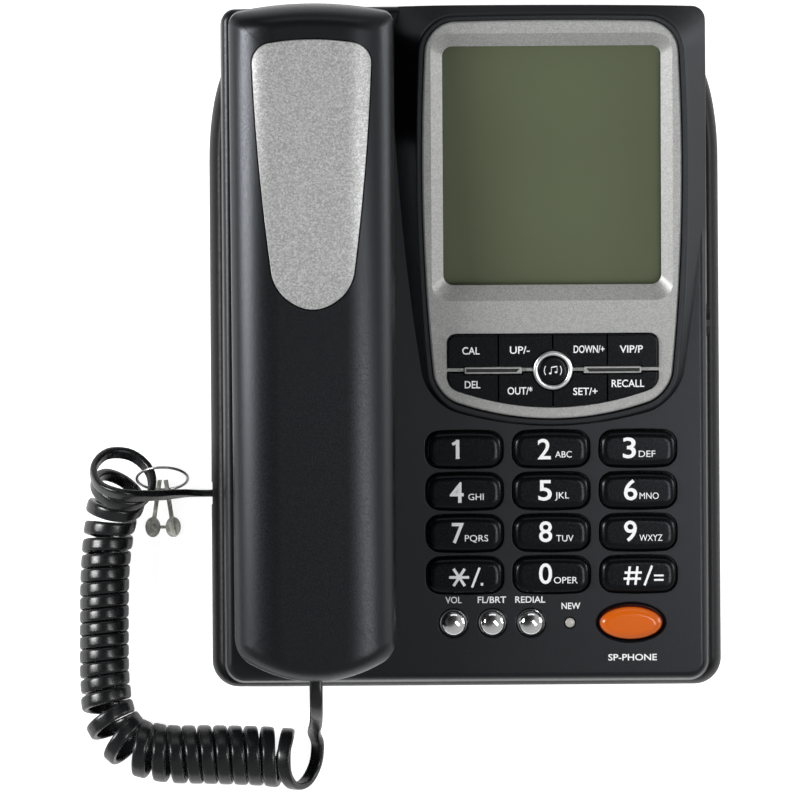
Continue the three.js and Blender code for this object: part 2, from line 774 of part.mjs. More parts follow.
// Top case: a thin shell with the raised pod, the two wells and the key openings
function topCase() {
  const rim = partingHeight + seatGap / 2;
  const outside = solidOf(
    loft(caseOutline, [
      [0, rim],
      ...roll(caseDraft, above(faceHeight, -faceRoll), caseDraft + faceRoll, faceHeight),
    ]),
  );
  const columnTop = faceHeight(0, caseHalfLength) * 2;
  const column = solidOf(loft(caseOutline, [[caseDraft, 0], [caseDraft, columnTop]]));
  const podCone = solidOf(
    loft(bezelOutline, [
      [-podRim - podDepth * podFlare, -podDepth],
      [-podRim - podRimDrop * podFlare, -podRimDrop],
      [-podRim, 0],
    ]),
    podPlane,
  ).intersect(column);
  const inside = solidOf(
    loft(caseOutline, [
      [shellWall, partingHeight - cutOver],
      [shellWall + caseDraft, above(faceHeight, -faceRoll - shellWall)],
      [shellWall + caseDraft + faceRoll / 2, above(faceHeight, -shellWall)],
    ]),
  );
  const podInside = solidOf(
    loft(bezelOutline, [
      [seatGap, -podCavityDepth],
      [seatGap, bezelBottom - seatGap - shellWall],
    ]),
    podPlane,
  );
  const recess = solidOf(
    loft(bezelOutline, [
      [-seatGap, bezelBottom - seatGap],
      [-seatGap, cutOver],
    ]),
    podPlane,
  );
  const throat = solidOf(
    loft(bezelOutline, [
      [bezelLedge, -podCavityDepth],
      [bezelLedge, 0],
    ]),
    podPlane,
  );
  const wells = [earOutline, mouthOutline];
  const wellWalls = wells.map((outline) => solidOf(loft(outline, wellWallLevels), handsetPlane));
  const wellCuts = wells.map((outline) => solidOf(loft(outline, wellLevels(wellGap)), handsetPlane));
  const keyCuts = numberPlaces.map(({ x, y }) =>
    solidOf(
      loft(numberOutline, [
        [-slideGap, faceStack.flangeBottom],
        [-slideGap, cutOver],
      ]),
      facePlane.clone().multiply(place(x, y, 0)),
    ),
  );
  const domedCuts = domedPlaces.map(({ x, y }) =>
    rod(
      x,
      y,
      [
        [domedRadius + slideGap, faceStack.flangeBottom],
        [domedRadius + slideGap, -dishDepth],
        [domedRadius + dishReach, 0],
        [domedRadius + dishReach, cutOver],
      ],
      facePlane,
      roundSides,
    ),
  );
  const speakerCuts = [
    [
      [-slideGap, faceStack.flangeBottom],
      [-slideGap, cutOver],
    ],
    [
      [-slideGap, -dishDepth],
      [-slideGap - speakerDish, 0],
      [-slideGap - speakerDish, cutOver],
    ],
  ].map((levels) => oval(speakerKeyHalfWidth, speakerKeyHalfLength, levels, speakerKeyPlace));
  const lensCut = rod(
    lensX,
    lowerRowY,
    [[lensRadius + seatGap, -shellWall - cutOver], [lensRadius + seatGap, cutOver]],
    facePlane,
  );
  const hookCut = block(
    [-hookWidth / 2 - slideGap, hookY - hookLength / 2 - slideGap, -cupDepth - shellWall - cutOver],
    [hookWidth / 2 + slideGap, hookY + hookLength / 2 + slideGap, -cupDepth + cutOver],
    handsetPlane,
  );
  const lockAcross = new THREE.Matrix4().makeRotationY(Math.PI / 2).setPosition(0, lockY, lockHeight);
  const lockCut = rod(
    0,
    0,
    [
      [lockRadius + slideGap, caseHalfWidth - shellWall - cutOver],
      [lockRadius + slideGap, caseHalfWidth - lockHeadThickness - seatGap],
      [lockRadius + lockHeadReach + slideGap, caseHalfWidth - lockHeadThickness - seatGap],
      [lockRadius + lockHeadReach + slideGap, caseHalfWidth + cutOver],
    ],
    lockAcross,
    roundSides,
  );
  const lockPad = rod(
    0,
    0,
    [
      [lockRadius + lockHeadReach + shellWall, caseHalfWidth - lockHeadThickness - shellWall - seatGap],
      [lockRadius + lockHeadReach + shellWall, caseHalfWidth - shellWall / 2],
    ],
    lockAcross,
  );
  const shell = cut(unite(outside, podCone), inside, podInside);
  const walled = unite(shell, ...wellWalls, lockPad);
  return cut(
    walled,
    recess,
    throat,
    ...wellCuts,
    ...keyCuts,
    ...domedCuts,
    ...speakerCuts,
    lensCut,
    hookCut,
    lockCut,
  );
}

// Bottom case: a tray with the flared skirt, the battery bay and the sound slots
const trayFloor = footHeight + shellWall;
const trayRim = partingHeight - seatGap / 2;
const bayLow = [bayX, bayY - bayLength, footHeight];
const bayHigh = [bayX + bayWidth, bayY, footHeight + bayDepth];
const screwPlaces = [1, -1].flatMap((side) =>
  [1, -1].map((end) => ({
    x: side * (caseHalfWidth - bossSideInset),
    y: end * (caseHalfLength - bossEndInset),
  })),
);
const footPlaces = [1, -1].flatMap((end) =>
  [-1, 1].map((side) => ({
    name: "foot_" + (end > 0 ? "rear_" : "front_") + (side < 0 ? "left" : "right"),
    x: side * (caseHalfWidth - footSideInset),
    y: end * (caseHalfLength - footEndInset),
  })),
);

function bottomCase() {
  const tray = solidOf(
    loft(caseOutline, [
      [trayInset + trayRoll, footHeight],
      [trayInset + trayRoll / 4, footHeight + trayRoll / 4],
      [trayInset, footHeight + trayRoll],
      [trayInset, trayRim],
    ]),
  );
  const skirt = solidOf(
    loft(skirtOutline, [
      [skirtUndercut, footHeight],
      [skirtUndercut / 4, footHeight + skirtUnderHeight / 3],
      [0, footHeight + skirtUnderHeight],
      ...roll(0, trayRim - skirtShoulder, skirtReach + trayInset / 4, trayRim),
    ]),
  );
  const hollow = solidOf(
    loft(caseOutline, [
      [trayInset + shellWall, trayFloor],
      [trayInset + shellWall, partingHeight + cutOver],
    ]),
  );
  const bayWalls = block(
    [bayLow[0] - shellWall, bayLow[1] - shellWall, footHeight + shellWall / 2],
    [bayHigh[0] + shellWall, bayHigh[1] + shellWall, bayHigh[2] + shellWall],
  );
  const bayCut = block(
    [bayLow[0] + bayLedge, bayLow[1] + bayLedge, footHeight - cutOver],
    [bayHigh[0] - bayLedge, bayHigh[1] - bayLedge, bayHigh[2]],
  );
  const doorCut = block(
    [bayLow[0], bayLow[1], footHeight - cutOver],
    [bayHigh[0], bayHigh[1], footHeight + doorThickness + seatGap],
  );
  const bosses = screwPlaces.map(({ x, y }) =>
    rod(x, y, [[bossRadius, footHeight + shellWall / 2], [bossRadius, trayRim]]),
  );
  const bores = screwPlaces.map(({ x, y }) =>
    rod(x, y, [
      [bossBore, 0],
      [bossBore, partingHeight + cutOver],
    ]),
  );
  const footCuts = footPlaces.map(({ x, y }) =>
    rod(x, y, [
      [footRadius + seatGap, 0],
      [footRadius + seatGap, footHeight + footSeat],
    ]),
  );
  const slots = Array.from({ length: speakerSlotCount }, (_, i) => {
    const offset = (i - (speakerSlotCount - 1) / 2) * speakerSlotPitch;
    const reach = Math.sqrt(speakerMagnetRadius ** 2 * 2 - offset ** 2 / 2);
    return block(
      [handsetX - reach, speakerY + offset - speakerSlotWidth / 2, 0],
      [handsetX + reach, speakerY + offset + speakerSlotWidth / 2, trayFloor + cutOver],
    );
  });
  const lineWindow = block(
    [
      lineJackX - lineJackWide / 2,
      caseHalfLength - trayInset - shellWall - cutOver,
      baseSocketHeight - lineJackHigh / 2,
    ],
    [
      lineJackX + lineJackWide / 2,
      caseHalfLength + cutOver,
      baseSocketHeight + lineJackHigh / 2,
    ],
  );
  const cordWindow = block(
    [
      -caseHalfWidth - skirtReach - cutOver,
      baseSocketY - plugNarrow / 2 - seatGap,
      baseSocketHeight - plugWide / 2 - seatGap,
    ],
    [
      -caseHalfWidth + trayInset + shellWall + cutOver,
      baseSocketY + plugNarrow / 2 + seatGap,
      baseSocketHeight + plugWide / 2 + seatGap,
    ],
  );
  const shell = cut(unite(tray, skirt), hollow);
  return cut(
    unite(shell, bayWalls, ...bosses),
    bayCut,
    doorCut,
    ...bores,
    ...footCuts,
    ...slots,
    lineWindow,
    cordWindow,
  );
}

add(group, "top_case", topCase(), "black");
add(group, "bottom_case", bottomCase(), "underside");

for (const { name, x, y } of footPlaces) {
  const foot = rod(0, 0, [
    [footRadius - footSeat / 2, 0],
    [footRadius, footSeat / 2],
    [footRadius, footHeight + footSeat - seatGap],
  ]);
  add(group, name, foot, "rubber").position.set(x, y, 0);
}

const batteryDoor = block(
  [bayLow[0] + seatGap, bayLow[1] + seatGap, footHeight],
  [bayHigh[0] - seatGap, bayHigh[1] - seatGap, footHeight + doorThickness],
);
add(group, "battery_door", batteryDoor, "underside");

// Loudspeaker lying face down over its slots
const speakerBottom = trayFloor + seatGap;
const loudspeaker = rod(
  0,
  0,
  [
    [speakerRadius, speakerBottom],
    [speakerRadius, speakerBottom + speakerFrameHeight / 3],
    [speakerMagnetRadius + seatGap, speakerBottom + speakerFrameHeight],
    [speakerMagnetRadius, speakerBottom + speakerFrameHeight],
    [speakerMagnetRadius, speakerBottom + speakerHeight],
  ],
  undefined,
  roundSides,
);
add(group, "loudspeaker", loudspeaker, "steel").position.set(handsetX, speakerY, 0);

// Sockets: a block with a blind hole that a plug goes into. The mouth is at y = 0 and faces +Y.
function socket(wide, high, depth) {
  const body = block(
    [-wide / 2 - socketWall, -depth - socketWall, -high / 2 - socketWall],
    [wide / 2 + socketWall, 0, high / 2 + socketWall],
  );
  const hole = block([-wide / 2, -depth, -high / 2], [wide / 2, cutOver, high / 2]);
  return cut(body, hole);
}
const lineJackMouthY = caseHalfLength - caseRearBulge / 2 - trayInset - shellWall - seatGap;
const lineJack = add(group, "line_jack", socket(lineJackWide, lineJackHigh, lineJackDepth), "plug");
lineJack.position.set(lineJackX, lineJackMouthY, baseSocketHeight);

const socketMouthX = caseHalfWidth - trayInset - shellWall - seatGap;
const plugHoleWide = plugWide + 2 * seatGap;
const plugHoleNarrow = plugNarrow + 2 * seatGap;
const cordSocket = add(group, "cord_socket", socket(plugHoleNarrow, plugHoleWide, socketDepth), "plug");
cordSocket.position.set(-socketMouthX, baseSocketY, baseSocketHeight);
cordSocket.rotation.z = Math.PI / 2;

// Plugs: the cord leaves at y = 0 towards +Y, and the tip points to -Y
function plug(wide, narrow, length) {
  const body = block([-wide / 2, -length, -narrow / 2], [wide / 2, 0, narrow / 2]);
  const clipSlot = block(
    [-wide * plugClipShare, -length - cutOver, narrow / 2 - socketWall / 2],
    [wide * plugClipShare, -length / 2, narrow / 2 + cutOver],
  );
  return cut(body, clipSlot);
}
const basePlug = add(group, "base_plug", plug(plugNarrow, plugWide, plugLength + shellWall), "plug");
basePlug.position.set(-(caseHalfWidth + skirtReach - 2 * plugSink), baseSocketY, baseSocketHeight);
basePlug.rotation.z = Math.PI / 2;

// Lock barrel in the right side wall, with the slot for a key
const lock = cut(
  rod(0, 0, [
    [lockRadius, -lockLength],
    [lockRadius, -lockHeadThickness],
    [lockRadius + lockHeadReach, -lockHeadThickness],
    [lockRadius + lockHeadReach, 0],
  ], undefined, roundSides),
  block(
    [-keywayLength / 2, -keywayWidth / 2, -keywayDepth],
    [keywayLength / 2, keywayWidth / 2, cutOver],
  ),
);
const lockBarrel = add(group, "lock_barrel", lock, "chrome");
lockBarrel.position.set(caseHalfWidth + lockProud, lockY, lockHeight);
lockBarrel.rotation.y = Math.PI / 2;

// Display bezel: a plate with the window's sloping frame, its collar and the two key openings
function displayBezel() {
  const plate = solidOf(
    loft(bezelOutline, [
      [0, bezelBottom],
      [0, -bezelSink - bezelEdge],
      [bezelEdge, -bezelSink],
    ]),
  );
  const collarBottom = -bezelSink - windowDepth - windowLip;
  const collar = solidOf(
    loft(windowOutline, [
      [-collarWall, collarBottom],
      [-collarWall - chamferWidth / 3, bezelBottom + bezelEdge],
    ]),
  );
  const rings = [windowOutline(0), windowOutline(0), chamferOutline(0), chamferOutline(0)];
  const heights = [collarBottom - cutOver, -bezelSink - windowDepth, -bezelSink, cutOver];
  const points = rings.map((ring, k) => ring.map((p) => new THREE.Vector3(p.x, p.y, heights[k])));
  const { count, index } = ringsToGeometry(points);
  const caps = THREE.ShapeUtils.triangulateShape(rings[0], []);
  const top = (rings.length - 1) * count;
  for (const [a, b, c] of caps) {
    index.push(a, c, b, top + a, top + b, top + c);
  }
  const funnel = solidOf(meshFrom(points.flat(), index));
  const keyOpening = solidOf(
    loft(featureOutline, [
      [0, bezelBottom - cutOver],
      [0, cutOver],
    ]),
  );
  const web = block(
    [-featureHalfWidth - cutOver, featureRowY - featureWeb / 2, bezelBottom],
    [featureHalfWidth + cutOver, featureRowY + featureWeb / 2, -bezelSink - bezelEdge],
  );
  const boss = rod(0, featureRowY, [
    [ringOuterRadius, bezelBottom],
    [ringOuterRadius, -bezelSink - bezelEdge],
  ]);
  const bars = [1, -1].map((side) =>
    block(
      [side * barX - barHalfLength, featureRowY - barHalfWidth, -bezelSink - bezelEdge - seatGap],
      [side * barX + barHalfLength, featureRowY + barHalfWidth, -bezelSink + barRise],
    ),
  );
  const buttonHole = rod(0, featureRowY, [
    [melodyRadius + slideGap, bezelBottom - cutOver],
    [melodyRadius + slideGap, cutOver],
  ], undefined, roundSides);
  const body = cut(unite(plate, collar), funnel, keyOpening);
  return cut(unite(body, web, boss, ...bars), buttonHole);
}
add(podGroup, "display_bezel", displayBezel(), "silver");

const paneTop = -bezelSink - windowDepth - windowLip - seatGap;
const panelTop = paneTop - paneThickness - seatGap;
const displayBoardTop = featureStack.boardTop;
add(
  podGroup,
  "display_window",
  loft(windowOutline, [
    [-collarWall, paneTop - paneThickness],
    [-collarWall, paneTop],
  ]),
  "clear",
);
add(
  podGroup,
  "display_panel",
  loft(windowOutline, [
    [-collarWall, Math.max(panelTop - panelThickness, displayBoardTop + seatGap)],
    [-collarWall, panelTop],
  ]),
  "panel",
);
const displayBoardSolid = block(
  [-windowHalfWidth - collarWall, featureFrontY - featureCorner, displayBoardTop - boardThickness],
  [windowHalfWidth + collarWall, windowY + windowHalfLength + collarWall, displayBoardTop],
);
add(podGroup, "display_board", displayBoardSolid, "board");

// Chrome ring round the melody button, standing on its boss
const ringSeat = -bezelSink - bezelEdge + seatGap;
const chromeRing = cut(
  rod(0, 0, [
    [ringOuterRadius, ringSeat],
    [ringOuterRadius, ringRise / 2],
    [ringOuterRadius - ringRise / 2, ringRise],
    [ringInnerRadius, ringRise - seatGap],
  ], undefined, roundSides),
  rod(0, 0, [[ringInnerRadius, -cutOver], [ringInnerRadius, ringRise + cutOver]], undefined, roundSides),
);
add(podGroup, "melody_ring", chromeRing, "chrome").position.set(0, featureRowY, 0);

// A round button: flange under the skin, wall, and a domed top
function roundButton(radius, rise, dome, stack) {
  return rod(0, 0, [
    [radius - keyStemInset / 2, stack.stemBottom],
    [radius - keyStemInset / 2, stack.flangeBottom],
    [radius + keyFlange, stack.flangeBottom],
    [radius + keyFlange, stack.flangeTop],
    [radius, stack.flangeTop],
    ...roll(0, rise - dome, radius - radius / boreSides, rise).map(([inset, height]) => [
      radius - inset,
      height,
    ]),
  ], undefined, roundSides);
}
const melodyButton = roundButton(melodyRadius, melodyRise, melodyRise / 3, featureStack);
add(podGroup, "melody_button", melodyButton, "key").position.set(0, featureRowY, 0);

// Feature keys: one outline split into four columns and two rows round the melody button
const columnEdges = [
  -featureHalfWidth - cutOver,
  -featureSplitX,
  0,
  featureSplitX,
  featureHalfWidth + cutOver,
];
const featureColumns = columnEdges.length - 1;
const isRearRow = (i) => i < featureColumns;
const columnSide = (column) => (column < featureColumns / 2 ? -1 : 1);
function featureKey(column, rear) {
  const far = rear ? featureRearY + cutOver : featureFrontY - featureFrontBulge - cutOver;
  const near = featureRowY + (rear ? 1 : -1) * (featureWeb / 2 + slideGap);
  const low = featureStack.stemBottom - cutOver;
  const high = ringRise + cutOver;
  const cell = block(
    [columnEdges[column] + featureGap / 2, Math.min(near, far), low],
    [columnEdges[column + 1] - featureGap / 2, Math.max(near, far), high],
  );
  const cap = solidOf(
    loft(featureOutline, [
      [slideGap, featureStack.stemBottom],
      [slideGap, featureRise - featureEdge],
      [slideGap + featureEdge, featureRise],
    ]),
  ).intersect(cell);
  const ringClear = rod(
    0,
    featureRowY,
    [
      [ringOuterRadius + slideGap, low],
      [ringOuterRadius + slideGap, high],
    ],
    undefined,
    roundSides,
  );
  const middle = columnSide(column) * barX;
  const barClear = block(
    [middle - barHalfLength - slideGap, featureRowY - barHalfWidth - slideGap, featureStack.flangeTop],
    [middle + barHalfLength + slideGap, featureRowY + barHalfWidth + slideGap, high],
  );
  return cut(cap, ringClear, barClear);
}
featureNames.forEach((name, i) => {
  add(podGroup, name + "_key", featureKey(i % featureColumns, isRearRow(i)), "key");
});

// Silicone mats: a sheet with one dome under each key
function mat(low, high, domes, stack) {
  const sheet = block([low[0], low[1], stack.matBottom], [high[0], high[1], stack.matTop]);
  const solids = domes.map(({ x, y, radius }) =>
    rod(x, y, [
      [radius, stack.matTop - matThickness / 2],
      [radius - domeHeight / 2, stack.domeTop],
    ]),
  );
  return unite(sheet, ...solids);
}
const numberDome = numberHalfLength - keyStemInset / 2;
const faceDomes = [
  ...numberPlaces.map(({ x, y }) => ({ x, y, radius: numberDome })),
  ...domedPlaces.map(({ x, y }) => ({ x, y, radius: domedRadius })),
  { x: speakerKeyX, y: lowerRowY, radius: speakerKeyHalfLength },
];
const matMargin = 3;
const matLow = [domedFirstX - numberHalfWidth + numberCorner, lowerRowY - speakerKeyHalfLength - matMargin];
const matHigh = [
  numberCentreX + numberPitchX + numberHalfWidth + matMargin,
  numberRearY + numberHalfLength + matMargin / 2,
];
add(faceGroup, "keypad_mat", mat(matLow, matHigh, faceDomes, faceStack), "rubber");
const mainBoard = block(
  [matLow[0], matLow[1], faceStack.boardTop - boardThickness],
  [matHigh[0], matHigh[1], faceStack.boardTop],
);
add(faceGroup, "main_board", mainBoard, "board");
const featureDomeRadius = (melodyRadius + domeHeight) / 2;
const featureDomes = featureNames.map((name, i) => {
  const column = i % featureColumns;
  const isInner = column === 1 || column === 2;
  return {
    x: columnSide(column) * (isInner ? innerDomeX : outerDomeX),
    y: featureRowY + (isRearRow(i) ? 1 : -1) * ringOuterRadius,
    radius: featureDomeRadius,
  };
});
featureDomes.push({ x: 0, y: featureRowY, radius: featureDomeRadius });
const featureMat = mat(
  [-featureHalfWidth, featureFrontY - featureCorner / 2],
  [featureHalfWidth, windowY - windowHalfLength - collarWall - chamferLength / 2],
  featureDomes,
  featureStack,
);
add(podGroup, "feature_mat", featureMat, "rubber");

// Number keys
const numberKey = loft(numberOutline, [
  [keyStemInset, faceStack.stemBottom],
  [keyStemInset, faceStack.flangeBottom],
  [-keyFlange, faceStack.flangeBottom],
  [-keyFlange, faceStack.flangeTop],
  [0, faceStack.flangeTop],
  ...roll(0, numberRise - numberEdge, numberEdge + numberEdge / 2, numberRise),
]);
for (const { name, x, y } of numberPlaces) {
  add(faceGroup, name, numberKey, "key").position.set(x, y, 0);
}
const domedButton = roundButton(domedRadius, domedRise, domedRise - seatGap, faceStack);
for (const { name, x, y } of domedPlaces) {
  add(faceGroup, name, geometryOf(domedButton), "chrome").position.set(x, y, 0);
}
const speakerKey = oval(speakerKeyHalfWidth, speakerKeyHalfLength, [
  [keyStemInset / 2, faceStack.stemBottom],
  [keyStemInset / 2, faceStack.flangeBottom],
  [-keyFlange, faceStack.flangeBottom],
  [-keyFlange, faceStack.flangeTop],
  [0, faceStack.flangeTop],
  ...roll(0, seatGap, speakerKeyEdge, speakerKeyRise),
]);
add(faceGroup, "speaker_button", speakerKey, "orange").position.set(speakerKeyX, lowerRowY, 0);
const lens = rod(0, 0, [
  [lensRadius, faceStack.flangeTop - lensLength + shellWall],
  [lensRadius, 0],
  [lensRadius / 2, lensRise],
]);
add(faceGroup, "status_lens", lens, "lens").position.set(lensX, lowerRowY, 0);

// Handset back: a crowned shell with the recess for the inlay
const crownSteps = 5;
const crownInsets = roll(0, 0, handsetCrownInset, 0, crownSteps).map(([inset]) => inset);
const rollShare = (inset, reach) => {
  const rest = 1 - THREE.MathUtils.clamp(inset / reach, 0, 1);
  return Math.sqrt(1 - rest * rest);
};
function crownHeight(x, y, set = 0) {
  const { lerp } = THREE.MathUtils;
  const rearEdge = lerp(handsetHalfLength, handsetSize.rear, (x / handsetHalfRear) ** 2);
  const frontEdge = lerp(-handsetHalfLength, handsetSize.front, (x / handsetHalfFront) ** 2);
  const rearShare = (y + handsetHalfLength) / (2 * handsetHalfLength);
  const halfHere = lerp(handsetHalfFront, handsetHalfRear, rearShare);
  const sideShare = rollShare(halfHere - Math.abs(x) - set, handsetCrownInset);
  const endShare = rollShare(Math.min(rearEdge - y, y - frontEdge) - set, handsetEndRoll);
  return handsetSideHeight + (handsetCrown - handsetSideHeight) * sideShare * endShare;
}
const inlaySteps = 3;
function inlayShape(reach, depth, rise) {
  const insets = Array.from(
    { length: inlaySteps + 1 },
    (_, i) => (inlayHalfFront * i) / (inlaySteps + 1),
  );
  const lower = insets.toReversed().map((inset) => [inset - reach, (x, y) => crownHeight(x, y) - depth]);
  const upper = insets.map((inset) => [inset - reach, (x, y) => crownHeight(x, y) + rise]);
  return loft(inlayOutline, [...lower, ...upper]);
}
const handsetJackSet = handsetWall + cupShoulderInset + handsetJackSetback;
const plugOpening = (gap) =>
  block(
    [-plugWide / 2 - gap, -handsetHalfLength - cutOver, jackHeight - plugNarrow / 2 - gap],
    [plugWide / 2 + gap, -handsetHalfLength + handsetJackSet - gap, jackHeight + plugNarrow / 2 + gap],
  );
function handsetBack() {
  const outside = solidOf(
    loft(handsetOutline, [[0, seatGap / 2], ...crownInsets.map((inset) => [inset, crownHeight])]),
  );
  const inside = solidOf(
    loft(handsetOutline, [
      [handsetWall, -cutOver],
      ...crownInsets.map((inset) => [
        inset + handsetWall,
        (x, y) => crownHeight(x, y, handsetWall) - handsetWall,
      ]),
    ]),
  );
  const recess = solidOf(inlayShape(inlayGap, inlayThickness + inlayGap, cutOver));
  const recessPad = solidOf(
    inlayShape(2 * handsetWall, inlayThickness + inlayGap + handsetWall, -handsetWall / 2),
  );
  return cut(unite(cut(outside, inside), recessPad.intersect(outside)), recess, plugOpening(seatGap));
}
add(handsetGroup, "handset_back", handsetBack(), "black");
add(handsetGroup, "handset_inlay", inlayShape(0, inlayThickness, inlayProud), "glitter");

// Handset front: the grip's underside with the ear and mouth cups
const cupLevels = (reach, floor) => [
  [cupFootInset + cupRoll + reach, -cupDepth + floor],
  [cupFootInset + reach, -cupDepth + floor + cupRoll],
  [cupWaistInset + reach, -cupWaistDepth],
  [cupShoulderInset + reach, -cupShoulderDepth],
  [cupTopInset + reach, -seatGap / 2 + (floor > 0 ? cutOver : 0)],
];
function handsetFront() {
  const grip = solidOf(
    loft(handsetOutline, [
      [gripRoll, -gripDepth],
      [gripRoll / 3, -gripDepth + gripRoll / 3],
      [0, -gripDepth + gripRoll],
      [0, -seatGap / 2],
    ]),
  );
  const gripInside = solidOf(
    loft(handsetOutline, [
      [gripRoll + handsetWall, -gripDepth + handsetWall],
      [handsetWall, -seatGap / 2],
      [handsetWall, cutOver],
    ]),
  );
  const cups = [earOutline, mouthOutline];
  const outsides = cups.map((outline) => solidOf(loft(outline, cupLevels(0, 0))));
  const insides = cups.map((outline) => solidOf(loft(outline, cupLevels(handsetWall, handsetWall))));
  const earHoles = Array.from({ length: earHoleCount }, (_, i) => {
    const turn = (2 * Math.PI * i) / earHoleCount;
    return [earHoleCircle * Math.cos(turn), earpieceY + earHoleCircle * Math.sin(turn)];
  });
  const mouthHoles = Array.from({ length: mouthHoleCount }, (_, i) => [
    (i - (mouthHoleCount - 1) / 2) * mouthHolePitch,
    microphoneY,
  ]);
  const holes = [[0, earpieceY], ...earHoles, ...mouthHoles].map(([x, y]) =>
    rod(x, y, [
      [soundHoleRadius, -cupDepth - cutOver],
      [soundHoleRadius, -cupDepth + handsetWall + cutOver],
    ], undefined, holeSides),
  );
  return cut(unite(grip, ...outsides), gripInside, ...insides, ...holes, plugOpening(seatGap));
}
add(handsetGroup, "handset_front", handsetFront(), "black");

const cupFloor = -cupDepth + handsetWall + seatGap;
add(
  handsetGroup,
  "earpiece",
  rod(
    0,
    0,
    [
      [earpieceRadius, cupFloor],
      [earpieceRadius, cupFloor + earpieceHeight],
    ],
    undefined,
    roundSides,
  ),
  "steel",
).position.set(0, earpieceY, 0);
add(
  handsetGroup,
  "microphone",
  rod(0, 0, [[microphoneRadius, cupFloor], [microphoneRadius, cupFloor + microphoneHeight]]),
  "steel",
).position.set(0, microphoneY, 0);
const weightFloor = -gripDepth + handsetWall + seatGap;
add(
  handsetGroup,
  "handset_weight",
  block(
    [-weightWidth / 2, -weightLength / 2, weightFloor],
    [weightWidth / 2, weightLength / 2, weightFloor + weightHeight],
  ),
  "steel",
);
const handsetSocket = socket(plugHoleWide, plugHoleNarrow, socketDepth - shellWall);
const handsetJack = add(handsetGroup, "handset_jack", handsetSocket, "plug");
handsetJack.position.set(0, -(handsetHalfLength - handsetJackSet), jackHeight);
handsetJack.rotation.z = Math.PI;
const handsetPlugLength = plugLength + handsetJackSet - plugSink;
const handsetPlugShape = plug(plugWide, plugNarrow, handsetPlugLength);
const handsetPlug = add(handsetGroup, "handset_plug", handsetPlugShape, "plug");
handsetPlug.position.set(0, -(handsetHalfLength - plugSink), jackHeight);
handsetPlug.rotation.z = Math.PI;

// Hook plunger in the floor of the ear well
const hookTop = -cupDepth - seatGap;
const hookFlangeTop = hookTop - shellWall - hookTravel - seatGap;
const hook = unite(
  block(
    [-hookWidth / 2, -hookLength / 2, hookFlangeTop - seatGap],
    [hookWidth / 2, hookLength / 2, hookTop],
  ),
  block(
    [-hookWidth / 2 - hookFlange, -hookLength / 2 - hookFlange, hookFlangeTop - hookFlangeThickness],
    [hookWidth / 2 + hookFlange, hookLength / 2 + hookFlange, hookFlangeTop],
  ),
  block(
    [-hookLength / 2, -hookLength / 4, hookFlangeTop - hookFlangeThickness - hookStem],
    [hookLength / 2, hookLength / 4, hookFlangeTop - hookFlangeThickness / 2],
  ),
);
add(handsetGroup, "hook_plunger", hook, "plug").position.set(0, hookY, 0);

// Rings of a flat section along a path, closed at both ends
function sweep(path, widths, halfWidth, halfThickness, sides) {
  const rings = path.map((point, k) => {
    const ahead = path[Math.min(k + 1, path.length - 1)];
    const behind = path[Math.max(k - 1, 0)];
    const along = ahead.clone().sub(behind).normalize();
    const wide = widths[k].clone().addScaledVector(along, -along.dot(widths[k])).normalize();
    const thin = along.clone().cross(wide);
    return Array.from({ length: sides }, (_, i) => {
      const turn = (2 * Math.PI * i) / sides;
      return point
        .clone()
        .addScaledVector(wide, halfWidth * Math.cos(turn))
        .addScaledVector(thin, halfThickness * Math.sin(turn));
    });
  });
  const { index } = ringsToGeometry(rings);
  const last = (rings.length - 1) * sides;
  for (let i = 1; i + 1 < sides; i++) {
    index.push(0, i + 1, i, last, last + i, last + i + 1);
  }
  return { geometry: meshFrom(rings.flat(), index), rings };
}

// The curls wind round their axis, with the distance from curl to curl that each stretch has
const placedFrom = (x, y, z) => (p) => new THREE.Vector3(x + p[0], y + p[1], z + p[2]);
const fromCorner = placedFrom(-caseHalfWidth, -caseHalfLength, 0);
const fromHandset = placedFrom(handsetX, -handsetHalfLength, 0);
const fromSocket = placedFrom(-caseHalfWidth, baseSocketY, baseSocketHeight);
function curlPath() {
  const curve = new THREE.CatmullRomCurve3(curlAxis.map(({ at }) => fromCorner(at)));
  const samples = curlCount * curlSteps;
  const length = curve.getLength();
  const lengths = curve.getLengths(samples);
  const shareAt = curlAxis.map(
    (_, k) => lengths[Math.round((samples * k) / (curlAxis.length - 1))] / length,
  );
  const valueAt = (share, key) => {
    const k = Math.max(1, shareAt.findIndex((s) => s >= share - Number.EPSILON));
    const mix = (share - shareAt[k - 1]) / (shareAt[k] - shareAt[k - 1]);
    return THREE.MathUtils.lerp(curlAxis[k - 1][key], curlAxis[k][key], THREE.MathUtils.clamp(mix, 0, 1));
  };
  const fine = samples * curlSteps;
  const turned = [0];
  for (let i = 1; i <= fine; i++) {
    turned.push(turned[i - 1] + 1 / valueAt((i - 1 / 2) / fine, "pitch"));
  }
  const turns = curlCount + curlEndTurn - curlStartTurn;
  const steps = Math.round(turns * curlSteps);
  const path = [];
  const widths = [];
  let i = 0;
  for (let k = 0; k <= steps; k++) {
    const wanted = (turned[fine] * k) / steps;
    while (i < fine - 1 && turned[i + 1] < wanted) i++;
    const share = Math.min(1, (i + (wanted - turned[i]) / (turned[i + 1] - turned[i])) / fine);
    const along = curve.getTangentAt(share);
    const level = new THREE.Vector3(0, 0, 1).cross(along).normalize();
    const upward = along.clone().cross(level);
    const turn = 2 * Math.PI * (curlStartTurn + (turns * k) / steps);
    const radius = valueAt(share, "radius");
    path.push(
      curve
        .getPointAt(share)
        .addScaledVector(level, radius * Math.cos(turn))
        .addScaledVector(upward, radius * Math.sin(turn)),
    );
    widths.push(along);
  }
  return { path, widths };
}

